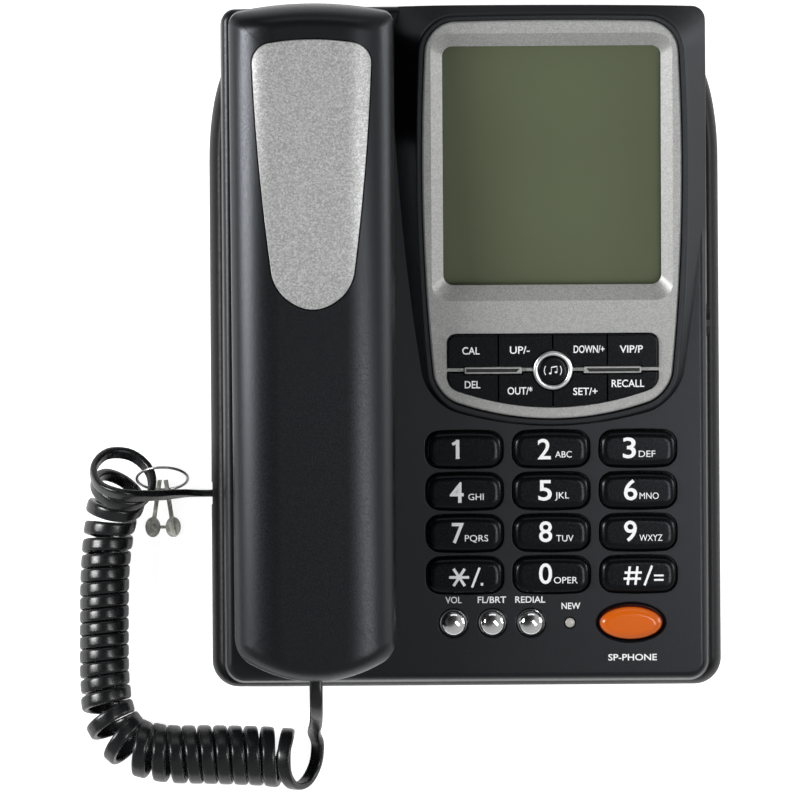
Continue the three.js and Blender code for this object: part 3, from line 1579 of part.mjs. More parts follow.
function cordPath() {
  const curls = curlPath();
  const first = handsetLead.map(fromHandset);
  const last = baseLead.map(fromSocket);
  const flat = new THREE.Vector3(-1, 0, 0);
  const upright = new THREE.Vector3(0, 0, 1);
  const firstWidths = first.map((_, k) =>
    flat.clone().lerp(curls.widths[0], Math.max(0, k - 2) / first.length),
  );
  const lastWidths = last.map((_, k) =>
    curls.widths.at(-1).clone().lerp(upright, Math.min(1, (k + 1) / (last.length - 2))),
  );
  return {
    path: [...first, ...curls.path, ...last],
    widths: [...firstWidths, ...curls.widths, ...lastWidths],
  };
}

const cordCourse = cordPath();
const cord = sweep(cordCourse.path, cordCourse.widths, cordWidth / 2, cordThickness / 2, cordSides);
add(group, "handset_cord", cord.geometry, "cord");

// Least gap from any point of the cord's skin to any other stretch of it
const nearbyShare = 4;
function leastGap(rings, apart) {
  const skin = rings.map((ring) =>
    ring.flatMap((p, i) => [p, p.clone().lerp(ring[(i + 1) % ring.length], 1 / 2)]),
  );
  const nearest = (here, there) =>
    Math.min(...here.flatMap((p) => there.map((q) => p.distanceTo(q))));
  let least = Infinity;
  for (let a = 0; a < skin.length; a++) {
    for (let b = a + apart; b < skin.length; b++) {
      if (skin[a][0].distanceTo(skin[b][0]) > nearbyShare * cordWidth) continue;
      least = Math.min(least, nearest(skin[a], skin[b]));
    }
  }
  return least;
}
const cordLength = cordCourse.path
  .slice(1)
  .reduce((sum, p, k) => sum + p.distanceTo(cordCourse.path[k]), 0);
console.log("cord length " + cordLength.toFixed(0) + " mm");
console.log("least gap of the cord to itself " + leastGap(cord.rings, curlSteps / 2).toFixed(2) + " mm");

// Wire ring threaded round a curl
const ringCentre = fromSocket(ringFromSocket);
const ringLowest = [
  ringCentre.x,
  ringCentre.y - ringRadius * Math.cos(ringLean),
  ringCentre.z - ringRadius * Math.sin(ringLean),
];
function wireRing() {
  const lean = new THREE.Vector3(0, Math.cos(ringLean), Math.sin(ringLean));
  const rings = Array.from({ length: ringSteps }, (_, k) => {
    const turn = (2 * Math.PI * k) / ringSteps;
    const out = new THREE.Vector3(Math.cos(turn), 0, 0).addScaledVector(lean, Math.sin(turn));
    const normal = new THREE.Vector3(1, 0, 0).cross(lean);
    return Array.from({ length: ringSides }, (_, i) => {
      const round = (2 * Math.PI * i) / ringSides;
      return ringCentre
        .clone()
        .addScaledVector(out, ringRadius + ringWire * Math.cos(round))
        .addScaledVector(normal, ringWire * Math.sin(round));
    });
  });
  const index = [];
  for (let k = 0; k < ringSteps; k++) {
    for (let i = 0; i < ringSides; i++) {
      const a = k * ringSides + i;
      const b = k * ringSides + ((i + 1) % ringSides);
      const c = ((k + 1) % ringSteps) * ringSides + ((i + 1) % ringSides);
      const d = ((k + 1) % ringSteps) * ringSides + i;
      index.push(a, c, b, a, d, c);
    }
  }
  return meshFrom(rings.flat(), index);
}
add(group, "key_ring", wireRing(), "steel");

// Two small moulded keys, still joined by their runner. The ring goes through a cross hole near the tips.
function keyPair() {
  const flat = (points, height) => {
    const shape = new THREE.Shape(points.map(([x, y]) => new THREE.Vector2(x, y)));
    const geometry = new THREE.ExtrudeGeometry(shape, { depth: height - keyFloor, bevelEnabled: false });
    return solidOf(geometry, place(0, 0, keyFloor));
  };
  const strip = (side, fromY, toY) => {
    const slope = (keyPaddleX - keyTipX) / (keyTipReach - keyPaddleY);
    const middle = (y) => side * (keyTipX + slope * (keyTipReach - y));
    return [
      [middle(fromY) + keyShankHalfWidth, fromY],
      [middle(fromY) - keyShankHalfWidth, fromY],
      [middle(toY) - keyShankHalfWidth, toY],
      [middle(toY) + keyShankHalfWidth, toY],
    ];
  };
  const halves = [-1, 1].flatMap((side) => [
    flat(strip(side, keyTipReach, keyPaddleY - keyPaddleHalfLength), keyRidgeHeight),
    flat(strip(side, keyTipReach, keyTipReach - 2 * keyNeckLength), keyNeckHeight),
    oval(
      keyPaddleHalfWidth,
      keyPaddleHalfLength,
      [
        [0, keyFloor],
        [0, keyPaddleHeight],
      ],
      place(side * keyPaddleX, keyPaddleY, 0),
    ),
  ]);
  const runner = block(
    [-keyPaddleX, keyPaddleY - keyRunnerHalfWidth, keyFloor],
    [keyPaddleX, keyPaddleY + keyRunnerHalfWidth, keyPaddleHeight - keyRunnerHalfWidth],
  );
  const across = new THREE.Matrix4().makeRotationY(Math.PI / 2).setPosition(0, 0, ringLowest[2]);
  const bore = rod(
    0,
    0,
    [
      [ringWire + 2 * slideGap, -keyPaddleX],
      [ringWire + 2 * slideGap, keyPaddleX],
    ],
    across,
  );
  return cut(unite(runner, ...halves), bore);
}
add(group, "key_pair", keyPair(), "greyKey").position.set(ringLowest[0], ringLowest[1], 0);

export default group;
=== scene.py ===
"""Looks of a corded desk telephone with a tilted display: shells, keys, display, handset, curly cord and stage."""

import math

import bmesh
import bpy
from bpy.props import FloatProperty, FloatVectorProperty, PointerProperty
from mathutils import Matrix, Vector


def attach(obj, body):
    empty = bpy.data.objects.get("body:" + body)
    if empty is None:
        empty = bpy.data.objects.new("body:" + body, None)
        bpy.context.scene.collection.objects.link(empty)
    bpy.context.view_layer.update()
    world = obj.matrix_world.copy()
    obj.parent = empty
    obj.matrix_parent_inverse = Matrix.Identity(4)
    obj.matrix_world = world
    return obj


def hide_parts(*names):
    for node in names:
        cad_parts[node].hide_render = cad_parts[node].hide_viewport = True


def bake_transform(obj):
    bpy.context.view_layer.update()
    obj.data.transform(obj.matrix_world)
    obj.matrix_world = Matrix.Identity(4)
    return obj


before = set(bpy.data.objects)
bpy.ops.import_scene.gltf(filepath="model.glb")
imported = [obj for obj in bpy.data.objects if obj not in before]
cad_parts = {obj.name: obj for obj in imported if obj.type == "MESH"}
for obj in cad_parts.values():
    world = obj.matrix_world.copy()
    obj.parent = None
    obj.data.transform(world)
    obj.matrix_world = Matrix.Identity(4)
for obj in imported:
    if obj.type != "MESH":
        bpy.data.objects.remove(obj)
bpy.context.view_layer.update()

bl_info = {
    "name": "Corded desk telephone",
    "version": (1, 0, 0),
    "blender": (4, 5, 0),
    "location": "View3D > Sidebar > Telephone",
    "description": "Builds the looks of a corded desk telephone round its packed model",
    "category": "Object",
}

MM = 0.001

# Driving sizes, in millimetres and radians
# The case and its sloping face
CASE_HALF_WIDTH = 76
CASE_HALF_LENGTH = 106.5
FACE_TILT = math.radians(6.5)
FACE_FRONT_HEIGHT = 30
PARTING_HEIGHT = 20
WALL = 2.2
SEAT_GAP = 0.3
FOOT_HEIGHT = 2.5
CASE_RIM = PARTING_HEIGHT + SEAT_GAP / 2
TRAY_RIM = PARTING_HEIGHT - SEAT_GAP / 2

# The display's steeper plane
POD_TILT = FACE_TILT + math.radians(4.4)
POD_X = 27.35
POD_Y = 42.4
POD_LIFT = 1.6
POD_SLOPE = 0.86
BEZEL_HALF_LENGTH = 59

# The handset, which lies on the face
HANDSET_X = -47.2
HANDSET_Y = 2.9
HANDSET_LIFT = 15
HANDSET_HALF_LENGTH = 105.9
HANDSET_HALF_REAR = 25.7
HANDSET_HALF_FRONT = 25.1
HANDSET_REAR_BULGE = 2.9
HANDSET_FRONT_BULGE = 8.5
CUP_FOOT_INSET = 7.2
CUP_TOP_INSET = 6.2
CUP_CLEARANCE = 1.2
HOOK_Y = 62

# Sockets, the battery bay, the loudspeaker and the key lock
SOCKET_HEIGHT = 11.25
CORD_SOCKET_Y = -45.7
LINE_JACK_X = 12
BAY_X = 6
BAY_Y = -8
BAY_WIDTH = 58
BAY_LENGTH = 46
BAY_DEPTH = 14
BAY_LEDGE = 1.8
SPEAKER_Y = 4
SPEAKER_MAGNET_RADIUS = 13
LOCK_Y = 7.6
LOCK_HEIGHT = 31


def face_height(y):
    """Height of the sloping face over the floor, in millimetres."""
    return FACE_FRONT_HEIGHT + (y + CASE_HALF_LENGTH) * math.tan(FACE_TILT)


def plane(x, y, z, tilt):
    """A frame turned about X, at a place in millimetres, for shapes in millimetres."""
    return Matrix.Scale(MM, 4) @ Matrix.Translation((x, y, z)) @ Matrix.Rotation(tilt, 4, "X")


POD_FRONT_Y = POD_Y - BEZEL_HALF_LENGTH * math.cos(POD_TILT)
POD_HEIGHT = face_height(POD_FRONT_Y) + POD_LIFT + (POD_Y - POD_FRONT_Y) * math.tan(POD_TILT)
FLOOR_FRAME = Matrix.Scale(MM, 4)
FACE_FRAME = plane(0, 0, face_height(0), FACE_TILT)
POD_FRAME = plane(POD_X, POD_Y, POD_HEIGHT, POD_TILT)
HANDSET_FRAME = FACE_FRAME @ Matrix.Translation((HANDSET_X, HANDSET_Y, HANDSET_LIFT))


class TelephoneSizes(bpy.types.PropertyGroup):
    """Sizes that show on the outside."""

    cord_width: FloatProperty(
        name="Cord width", description="Wide side of the flat curly cord", default=0.0042, unit="LENGTH"
    )
    cord_thickness: FloatProperty(
        name="Cord thickness", description="Narrow side of the flat curly cord", default=0.0023, unit="LENGTH"
    )
    legend_rise: FloatProperty(
        name="Print thickness", description="How far the white print stands on the keys", default=0.00006, unit="LENGTH"
    )
    grain: FloatProperty(
        name="Grain", description="Depth of the fine grain in the black plastic", default=0.00003, unit="LENGTH"
    )


class TelephoneColours(bpy.types.PropertyGroup):
    """Colours of the plastics and platings."""

    case: FloatVectorProperty(
        name="Case", description="Black of the case and handset", subtype="COLOR", default=(0.0024, 0.0026, 0.0034)
    )
    key: FloatVectorProperty(
        name="Keys", description="Black of the keys", subtype="COLOR", default=(0.0018, 0.0020, 0.0028)
    )
    bezel: FloatVectorProperty(
        name="Bezel", description="Silver-grey of the display's frame", subtype="COLOR", default=(0.37, 0.37, 0.365)
    )
    inlay: FloatVectorProperty(
        name="Inlay", description="Glitter silver of the handset's inlay", subtype="COLOR", default=(0.5, 0.502, 0.5)
    )
    display: FloatVectorProperty(
        name="Display", description="Grey-green of the blank display", subtype="COLOR", default=(0.15, 0.166, 0.098)
    )
    speaker: FloatVectorProperty(
        name="Speaker key", description="Orange of the oval key", subtype="COLOR", default=(0.62, 0.112, 0.003)
    )
    print_white: FloatVectorProperty(
        name="Print", description="White of the print", subtype="COLOR", default=(0.86, 0.87, 0.88)
    )


# Materials


def set_inputs(tree, target, **inputs):
    """Sets a node's inputs by their names. A value that is a socket is linked."""
    for name, value in inputs.items():
        socket = target.inputs[name.replace("_", " ")]
        if isinstance(value, bpy.types.NodeSocket):
            tree.links.new(value, socket)
        else:
            socket.default_value = value


def node(tree, kind, place, **inputs):
    """A shader node at a place in the tree, with its inputs set."""
    made = tree.nodes.new(kind)
    made.location = place
    set_inputs(tree, made, **inputs)
    return made


def ramp(tree, place, fac, stops):
    """A colour ramp of [place, colour] stops."""
    made = node(tree, "ShaderNodeValToRGB", place, Fac=fac)
    elements = made.color_ramp.elements
    for k, (position, colour) in enumerate(stops):
        element = elements[k] if k < 2 else elements.new(position)
        element.position = position
        element.color = (*colour, 1)
    return made.outputs["Color"]


def spread(tree, place, noise, low, high):
    """The noise's middle stretch, spread from low to high."""
    made = node(
        tree, "ShaderNodeMapRange", place, Value=noise, From_Min=0.3, From_Max=0.7, To_Min=low, To_Max=high
    )
    return made.outputs["Result"]


def shade(colour, factor):
    """The colour, lighter or darker."""
    return tuple(min(1.0, c * factor) for c in colour)


def start_material(name):
    """A material with an empty tree, its shader and its surface coordinates."""
    material = bpy.data.materials.new(name)
    material.use_nodes = True
    tree = material.node_tree
    tree.nodes.clear()
    output = node(tree, "ShaderNodeOutputMaterial", (900, 0))
    shader = node(tree, "ShaderNodeBsdfPrincipled", (600, 0))
    tree.links.new(shader.outputs["BSDF"], output.inputs["Surface"])
    coordinates = node(tree, "ShaderNodeTexCoord", (-900, 0)).outputs["Object"]
    return material, tree, shader, coordinates


def moulded_plastic(
    name, colour, roughness, grain=0.00003, grain_scale=1500, mottle=0.12, specular=0.5, sheen_tint=(1, 1, 1)
):
    """Moulded plastic: a fine grain, a slow drift of its shade and a little unevenness of its gloss."""
    material, tree, shader, place = start_material(name)
    drift = node(tree, "ShaderNodeTexNoise", (-600, 300), Vector=place, Scale=18, Detail=3).outputs["Fac"]
    fine = node(tree, "ShaderNodeTexNoise", (-600, -100), Vector=place, Scale=grain_scale, Detail=2).outputs["Fac"]
    tint = ramp(tree, (-300, 300), drift, [(0.3, shade(colour, 1 - mottle)), (0.7, shade(colour, 1 + mottle))])
    rough = spread(tree, (-300, 0), fine, roughness - 0.04, roughness + 0.04)
    bump = node(tree, "ShaderNodeBump", (200, -250), Height=fine, Strength=0.6, Distance=grain)
    set_inputs(tree, shader, Base_Color=tint, Roughness=rough, Normal=bump.outputs["Normal"])
    set_inputs(tree, shader, Specular_IOR_Level=specular, Specular_Tint=(*sheen_tint, 1))
    return material


def speckled_paint(name, colour, roughness, metallic, flake_scale, contrast, depth):
    """Metallic paint with flakes that catch the light one by one."""
    material, tree, shader, place = start_material(name)
    flakes = node(tree, "ShaderNodeTexVoronoi", (-700, 200), Vector=place, Scale=flake_scale)
    cloud = node(
        tree, "ShaderNodeTexNoise", (-700, -200), Vector=place, Scale=flake_scale / 2, Detail=3, Roughness=0.7
    ).outputs["Fac"]
    pick = node(tree, "ShaderNodeSeparateColor", (-500, 200), Color=flakes.outputs["Color"]).outputs["Red"]
    flake_stops = [(0.0, shade(colour, 1 - contrast)), (0.6, colour), (1.0, shade(colour, 1 + contrast))]
    light = ramp(tree, (-300, 250), pick, flake_stops)
    dark = ramp(tree, (-300, -200), cloud, [(0.35, (0.91,) * 3), (0.65, (1.0,) * 3)])
    mixed = node(tree, "ShaderNodeMix", (100, 200))
    mixed.data_type = "RGBA"
    mixed.blend_type = "MULTIPLY"
    mixed.inputs["Factor"].default_value = 1
    tree.links.new(light, mixed.inputs[6])
    tree.links.new(dark, mixed.inputs[7])
    bump = node(tree, "ShaderNodeBump", (200, -250), Height=pick, Strength=0.5, Distance=depth)
    set_inputs(tree, shader, Base_Color=mixed.outputs[2], Normal=bump.outputs["Normal"])
    set_inputs(tree, shader, Roughness=roughness, Metallic=metallic)
    return material


def plated_metal(name, colour, roughness):
    """Plated or polished metal with faint polishing marks."""
    material, tree, shader, place = start_material(name)
    marks = node(tree, "ShaderNodeTexNoise", (-600, 0), Vector=place, Scale=350, Detail=3).outputs["Fac"]
    tint = ramp(tree, (-300, 200), marks, [(0.3, shade(colour, 0.95)), (0.7, colour)])
    rough = spread(tree, (-300, -100), marks, roughness, roughness + 0.05)
    set_inputs(tree, shader, Base_Color=tint, Roughness=rough, Metallic=1)
    return material


def blank_display(name, colour):
    """The unlit panel of the display: grey-green, cloudy by a few per cent, with a fine grain of cells."""
    material, tree, shader, place = start_material(name)
    cloud = node(tree, "ShaderNodeTexNoise", (-600, 200), Vector=place, Scale=14, Detail=2).outputs["Fac"]
    cells = node(tree, "ShaderNodeTexVoronoi", (-600, -150), Vector=place, Scale=2600).outputs["Distance"]
    tint = ramp(tree, (-300, 200), cloud, [(0.3, shade(colour, 0.93)), (0.7, shade(colour, 1.06))])
    bump = node(tree, "ShaderNodeBump", (200, -250), Height=cells, Strength=0.15, Distance=0.00002)
    set_inputs(tree, shader, Base_Color=tint, Normal=bump.outputs["Normal"], Roughness=0.5, Specular_IOR_Level=0.25)
    return material


def clear_pane(name):
    """The clear window: nearly invisible from above, with a faint sheen and a few dust-fine marks."""
    material, tree, shader, place = start_material(name)
    marks = node(tree, "ShaderNodeTexNoise", (-600, 0), Vector=place, Scale=220, Detail=2).outputs["Fac"]
    set_inputs(tree, shader, Base_Color=(0.05, 0.05, 0.05, 1), Roughness=spread(tree, (-300, 0), marks, 0.04, 0.1))
    see = node(tree, "ShaderNodeBsdfTransparent", (600, 250), Color=(0.97, 0.985, 0.96, 1))
    blend = node(tree, "ShaderNodeMixShader", (800, 200), Fac=0.1)
    tree.links.new(see.outputs["BSDF"], blend.inputs[1])
    tree.links.new(shader.outputs["BSDF"], blend.inputs[2])
    tree.links.new(blend.outputs["Shader"], tree.nodes["Material Output"].inputs["Surface"])
    return material


# How much of the floor's own white each kind of ray sees
FLOOR_GLOW = {"Is Camera Ray": 0.85, "Is Glossy Ray": 0.4, "Is Transmission Ray": 0.85}


def floor_paper(name):
    """Plain white studio floor. It shows white to the camera and in reflections, and keeps the object's shadow."""
    material, tree, shader, place = start_material(name)
    fibre = node(tree, "ShaderNodeTexNoise", (-600, 0), Vector=place, Scale=60, Detail=3).outputs["Fac"]
    tint = ramp(tree, (-300, 0), fibre, [(0.3, (0.86,) * 3), (0.7, (0.88,) * 3)])
    set_inputs(tree, shader, Base_Color=tint, Roughness=0.9)
    seen = node(tree, "ShaderNodeLightPath", (-300, 500))
    strength = 0.0
    for k, (ray, share) in enumerate(FLOOR_GLOW.items()):
        part = node(tree, "ShaderNodeMath", (-50 + 150 * k, 500))
        part.operation = "MULTIPLY_ADD"
        tree.links.new(seen.outputs[ray], part.inputs[0])
        part.inputs[1].default_value = share
        if k:
            tree.links.new(strength, part.inputs[2])
        else:
            part.inputs[2].default_value = strength
        strength = part.outputs["Value"]
    glow = node(tree, "ShaderNodeEmission", (450, 350), Color=(1, 1, 1, 1), Strength=strength)
    both = node(tree, "ShaderNodeAddShader", (800, 200))
    tree.links.new(glow.outputs["Emission"], both.inputs[0])
    tree.links.new(shader.outputs["BSDF"], both.inputs[1])
    tree.links.new(both.outputs["Shader"], tree.nodes["Material Output"].inputs["Surface"])
    return material


# A faint blue in the gloss of the black plastics
COOL_SHEEN = (0.88, 0.92, 1.0)


def material(name):
    """The finish of that name, made on its first use."""
    kind, name = name, f"{name}_finish"
    if name in bpy.data.materials:
        return bpy.data.materials[name]
    colours = bpy.context.scene.telephone_colours
    grain = bpy.context.scene.telephone_sizes.grain

    def black_plastic(colour, roughness, depth, specular):
        return moulded_plastic(name, colour, roughness, depth, specular=specular, sheen_tint=COOL_SHEEN)

    recipes = {
        "case_black": lambda: black_plastic(colours.case, 0.37, grain, 0.42),
        "handset_black": lambda: black_plastic(colours.case, 0.35, grain, 0.42),
        "base_black": lambda: moulded_plastic(name, colours.case, 0.4, 2 * grain, 900, specular=0.18),
        "key_black": lambda: black_plastic(colours.key, 0.25, grain / 3, 0.22),
        # Near-black of the thin strip in each groove of the bezel: painted shade
        "groove_painted_shade": lambda: moulded_plastic(name, (0.003, 0.003, 0.0035), 0.5, grain),
        "print_white": lambda: moulded_plastic(name, colours.print_white, 0.5, grain / 4, 3000, 0.03),
        "bezel_silver": lambda: speckled_paint(name, colours.bezel, 0.42, 0.35, 3400, 0.2, 0.000015),
        "inlay_glitter": lambda: speckled_paint(name, colours.inlay, 0.36, 0.55, 2600, 0.3, 0.00005),
        "display_grey": lambda: blank_display(name, colours.display),
        "display_clear": lambda: clear_pane(name),
        "chrome": lambda: plated_metal(name, (0.95, 0.95, 0.96), 0.05),
        "satin_chrome": lambda: plated_metal(name, (0.8, 0.805, 0.81), 0.27),
        "steel": lambda: plated_metal(name, (0.5, 0.5, 0.5), 0.28),
        "speaker_orange": lambda: moulded_plastic(name, colours.speaker, 0.2, grain / 3, 1500, 0.05),
        # Dark red of the oval key's lower sides: painted shade on the orange plastic
        "speaker_side_shade": lambda: moulded_plastic(name, (0.09, 0.008, 0.004), 0.35, grain),
        "silicone": lambda: moulded_plastic(name, (0.05, 0.052, 0.055), 0.7, grain, 800),
        "foot_rubber": lambda: moulded_plastic(name, (0.015, 0.015, 0.016), 0.8, 3 * grain, 700),
        "board_green": lambda: moulded_plastic(name, (0.02, 0.11, 0.035), 0.45, grain, 300, 0.3),
        "lens_pale": lambda: moulded_plastic(name, (0.42, 0.41, 0.38), 0.15, grain / 4),
        "cord_black": lambda: moulded_plastic(name, (0.0055, 0.006, 0.0068), 0.27, grain / 2, 1200),
        "plug_dark": lambda: moulded_plastic(name, (0.02, 0.02, 0.022), 0.2, grain / 2),
        "key_grey": lambda: speckled_paint(name, (0.78, 0.78, 0.7), 0.45, 0.2, 1100, 0.35, 0.00003),
        "floor_paper": lambda: floor_paper(name),
        "speaker_cone": lambda: moulded_plastic(name, (0.06, 0.06, 0.06), 0.6, 2 * grain, 500),
    }
    return recipes[kind]()


# Shapes: all in millimetres in their own plane, placed by a matrix


# Length of a cubic curve's handles, as a share of a corner's sides, for a quarter of a circle
QUARTER_SHARE = 0.5523


def outline_of(
    rear,
    front,
    half_rear,
    half_front,
    rear_corner,
    front_corner,
    side_bulge=0,
    rear_bulge=0,
    front_bulge=0,
    rear_run=None,
    steps=(6, 8, 8),
):
    """An outline of four bulged sides with rounded corners, as a function of its inset."""
    run = rear_corner if rear_run is None else rear_run

    def at_inset(inset):
        ends = [(half_front, front), (half_rear, rear), (-half_rear, rear), (-half_front, front)]
        signs = [(-1, 1), (-1, -1), (1, -1), (1, 1)]
        corners = [Vector((px + sx * inset, py + sy * inset)) for (px, py), (sx, sy) in zip(ends, signs)]

        def eased(value):
            return max(value - inset, value / 4)

        trims = [(front_corner, run), (rear_corner, rear_corner), (run, front_corner), (front_corner, front_corner)]
        bulges = [side_bulge, rear_bulge, side_bulge, front_bulge]
        counts = [steps[0], steps[1], steps[0], steps[1]]
        sides = []
        for k in range(4):
            a, b = corners[k], corners[(k + 1) % 4]
            along = b - a
            outward = Vector((along.y, -along.x)).normalized()
            handle = (a + b) / 2 + outward * 2 * bulges[k]
            first = eased(trims[k][0]) / along.length
            last = 1 - eased(trims[k][1]) / along.length
            sides.append((a, handle, b, first, last, counts[k]))

        def point(side, t):
            a, h, b = side[:3]
            return a * (1 - t) ** 2 + h * 2 * t * (1 - t) + b * t * t

        def heading(side, t):
            a, h, b = side[:3]
            return ((h - a) * (1 - t) + (b - h) * t).normalized()

        points = []
        for k, side in enumerate(sides):
            following = sides[(k + 1) % 4]
            for i in range(side[5] + 1):
                points.append(point(side, side[3] + (side[4] - side[3]) * i / side[5]))
            a, d = point(side, side[4]), point(following, following[3])
            corner = corners[(k + 1) % 4]
            b = a + heading(side, side[4]) * QUARTER_SHARE * (a - corner).length
            c = d - heading(following, following[3]) * QUARTER_SHARE * (d - corner).length
            for i in range(1, steps[2]):
                t = i / steps[2]
                points.append(a * (1 - t) ** 3 + b * 3 * t * (1 - t) ** 2 + c * 3 * t * t * (1 - t) + d * t**3)
        return points

    return at_inset


def oval_of(half_width, half_length, steps=64):
    """An oval as a function of its inset."""
    turns = [2 * math.pi * i / steps for i in range(steps)]
    return lambda inset: [
        Vector(((half_width - inset) * math.cos(turn), (half_length - inset) * math.sin(turn))) for turn in turns
    ]


def roll(inset_from, height_from, inset_to, height_to, steps=8):
    """Levels that roll from an upright wall to a flat top."""
    levels = []
    for i in range(steps + 1):
        turn = math.pi / 2 * i / steps
        inset = inset_from + (inset_to - inset_from) * (1 - math.cos(turn))
        levels.append((inset, mixed_height(height_from, height_to, math.sin(turn))))
    return levels


def mixed_height(low, high, share):
    """A height between two heights, each a number or a surface."""
    if not (callable(low) or callable(high)):
        return low + (high - low) * share

    def mixed(x, y):
        bottom, top = (height(x, y) if callable(height) else height for height in (low, high))
        return bottom + (top - bottom) * share

    return mixed


def loft(outline, levels, matrix=None):
    """A closed stack of insets of one outline. A height may follow a surface."""
    mesh = bmesh.new()
    rings = []
    for inset, height in levels:
        ring = []
        for p in outline(inset):
            z = height(p.x, p.y) if callable(height) else height
            ring.append(mesh.verts.new((p.x, p.y, z)))
        rings.append(ring)
    for lower, upper in zip(rings, rings[1:]):
        for i in range(len(lower)):
            j = (i + 1) % len(lower)
            mesh.faces.new((lower[i], lower[j], upper[j], upper[i]))
    mesh.faces.new(list(reversed(rings[0])))
    mesh.faces.new(rings[-1])
    return finished(mesh, matrix)


def finished(mesh, matrix=None):
    """The mesh moved into place, with its faces out."""
    if matrix is not None:
        bmesh.ops.transform(mesh, matrix=matrix, verts=mesh.verts)
    bmesh.ops.recalc_face_normals(mesh, faces=mesh.faces)
    return mesh


def turned(profile, matrix=None, steps=48):
    """A turned solid of [radius, height] points, closed on its axis."""
    mesh = bmesh.new()
    rings = []
    for radius, height in profile:
        turns = [2 * math.pi * i / steps for i in range(steps if radius else 1)]
        rings.append([mesh.verts.new((radius * math.cos(t), radius * math.sin(t), height)) for t in turns])
    for lower, upper in zip(rings, rings[1:]):
        for i in range(steps):
            j = (i + 1) % steps
            a = lower[i % len(lower)]
            b = lower[j % len(lower)]
            c = upper[j % len(upper)]
            d = upper[i % len(upper)]
            mesh.faces.new([v for k, v in enumerate((a, b, c, d)) if v not in (a, b, c, d)[:k]])
    for ring, flip in ((rings[0], True), (rings[-1], False)):
        if len(ring) > 1:
            mesh.faces.new(list(reversed(ring)) if flip else ring)
    return finished(mesh, matrix)


def block(low, high, matrix=None, edge=0.0, segments=2):
    """A block between two corners, with rounded edges."""
    mesh = bmesh.new()
    bmesh.ops.create_cube(mesh, size=1)
    size = Vector(high) - Vector(low)
    middle = (Vector(high) + Vector(low)) / 2
    bmesh.ops.transform(mesh, matrix=Matrix.Translation(middle) @ Matrix.Diagonal((*size, 1)), verts=mesh.verts)
    if edge:
        bmesh.ops.bevel(mesh, geom=mesh.edges, offset=edge, segments=segments, profile=0.5, affect="EDGES")
    return finished(mesh, matrix)


def gathered(parts):
    """Several meshes as one."""
    whole = bmesh.new()
    for part in parts:
        scratch = bpy.data.meshes.new("scratch")
        part.to_mesh(scratch)
        whole.from_mesh(scratch)
        part.free()
        bpy.data.meshes.remove(scratch)
    return whole


def piece(name, mesh, materials, body, replaced=(), smooth=35):
    """An object of that mesh that rides on a body, and stands for the CAD nodes named."""
    data = bpy.data.meshes.new(name)
    mesh.to_mesh(data)
    mesh.free()
    made = bpy.data.objects.new(name, data)
    bpy.context.scene.collection.objects.link(made)
    for m in materials:
        data.materials.append(material(m))
    if smooth:
        smoothed(made, smooth)
    if body:
        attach(made, body)
    if replaced:
        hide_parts(*replaced)
    return made


def smoothed(made, angle=35):
    """Smooth shading with sharp edges kept, and large flat faces left flat."""
    made.data.shade_smooth()
    made.data.set_sharp_from_angle(angle=math.radians(angle))
    weighted = made.modifiers.new("flats", "WEIGHTED_NORMAL")
    weighted.keep_sharp = True


def carved(base, tools, operation="DIFFERENCE"):
    """The mesh cut by, joined to or kept inside another, by an exact boolean."""
    first = piece("carve_base", base, [], None, smooth=0)
    second = piece("carve_tool", tools, [], None, smooth=0)
    cut = first.modifiers.new("cut", "BOOLEAN")
    cut.operation = operation
    cut.solver = "EXACT"
    cut.use_self = False
    cut.object = second
    bpy.context.view_layer.update()
    result = bmesh.new()
    evaluated = first.evaluated_get(bpy.context.evaluated_depsgraph_get())
    result.from_mesh(evaluated.to_mesh())
    evaluated.to_mesh_clear()
    for old in (first, second):
        data = old.data
        bpy.data.objects.remove(old)
        bpy.data.meshes.remove(data)
    if not result.faces:
        raise RuntimeError("a boolean left nothing")
    bmesh.ops.dissolve_degenerate(result, dist=1e-7, edges=result.edges)
    return result


def joined(base, part):
    """Both meshes as one closed solid."""
    return carved(base, part, "UNION")


def coloured(mesh, slot_index):
    """The mesh with all its faces on one material slot."""
    for f in mesh.faces:
        f.material_index = slot_index
    return mesh


# Outlines shared by several pieces
CASE = outline_of(
    rear=CASE_HALF_LENGTH - 0.6,
    front=-(CASE_HALF_LENGTH - 1.3),
    half_rear=CASE_HALF_WIDTH,
    half_front=CASE_HALF_WIDTH,
    rear_bulge=0.6,
    rear_corner=4.7,
    front_corner=6.5,
    steps=(12, 16, 12),
)
SKIRT = outline_of(
    rear=CASE_HALF_LENGTH - 14,
    front=-CASE_HALF_LENGTH,
    half_rear=CASE_HALF_WIDTH + 3.8,
    half_front=CASE_HALF_WIDTH + 3.8,
    rear_run=34,
    rear_corner=10,
    front_corner=8.4,
    steps=(12, 4, 16),
)
BEZEL_SHAPE = dict(
    rear=BEZEL_HALF_LENGTH,
    front=-BEZEL_HALF_LENGTH,
    half_rear=38.9,
    half_front=36.6,
    side_bulge=2.6,
    rear_bulge=0.6,
    front_bulge=7.7,
    rear_corner=9,
    front_corner=7,
)
BEZEL = outline_of(**BEZEL_SHAPE, steps=(24, 24, 14))
WINDOW = dict(
    rear=13.1 + 37.8, front=13.1 - 37.8, half_rear=34, half_front=34, rear_corner=3.1, front_corner=3.1
)
FEATURE_SHAPE = dict(
    rear=-39.5, front=-56.6, half_rear=33.1, half_front=33.1, front_bulge=6.6, rear_corner=3, front_corner=3
)
FEATURE = outline_of(**FEATURE_SHAPE, steps=(4, 40, 8))
NUMBER = outline_of(
    rear=5.05,
    front=-5.05,
    half_rear=11.2,
    half_front=11.2,
    side_bulge=0.5,
    rear_bulge=0.5,
    front_bulge=0.5,
    rear_corner=3.1,
    front_corner=3.1,
    steps=(6, 12, 8),
)
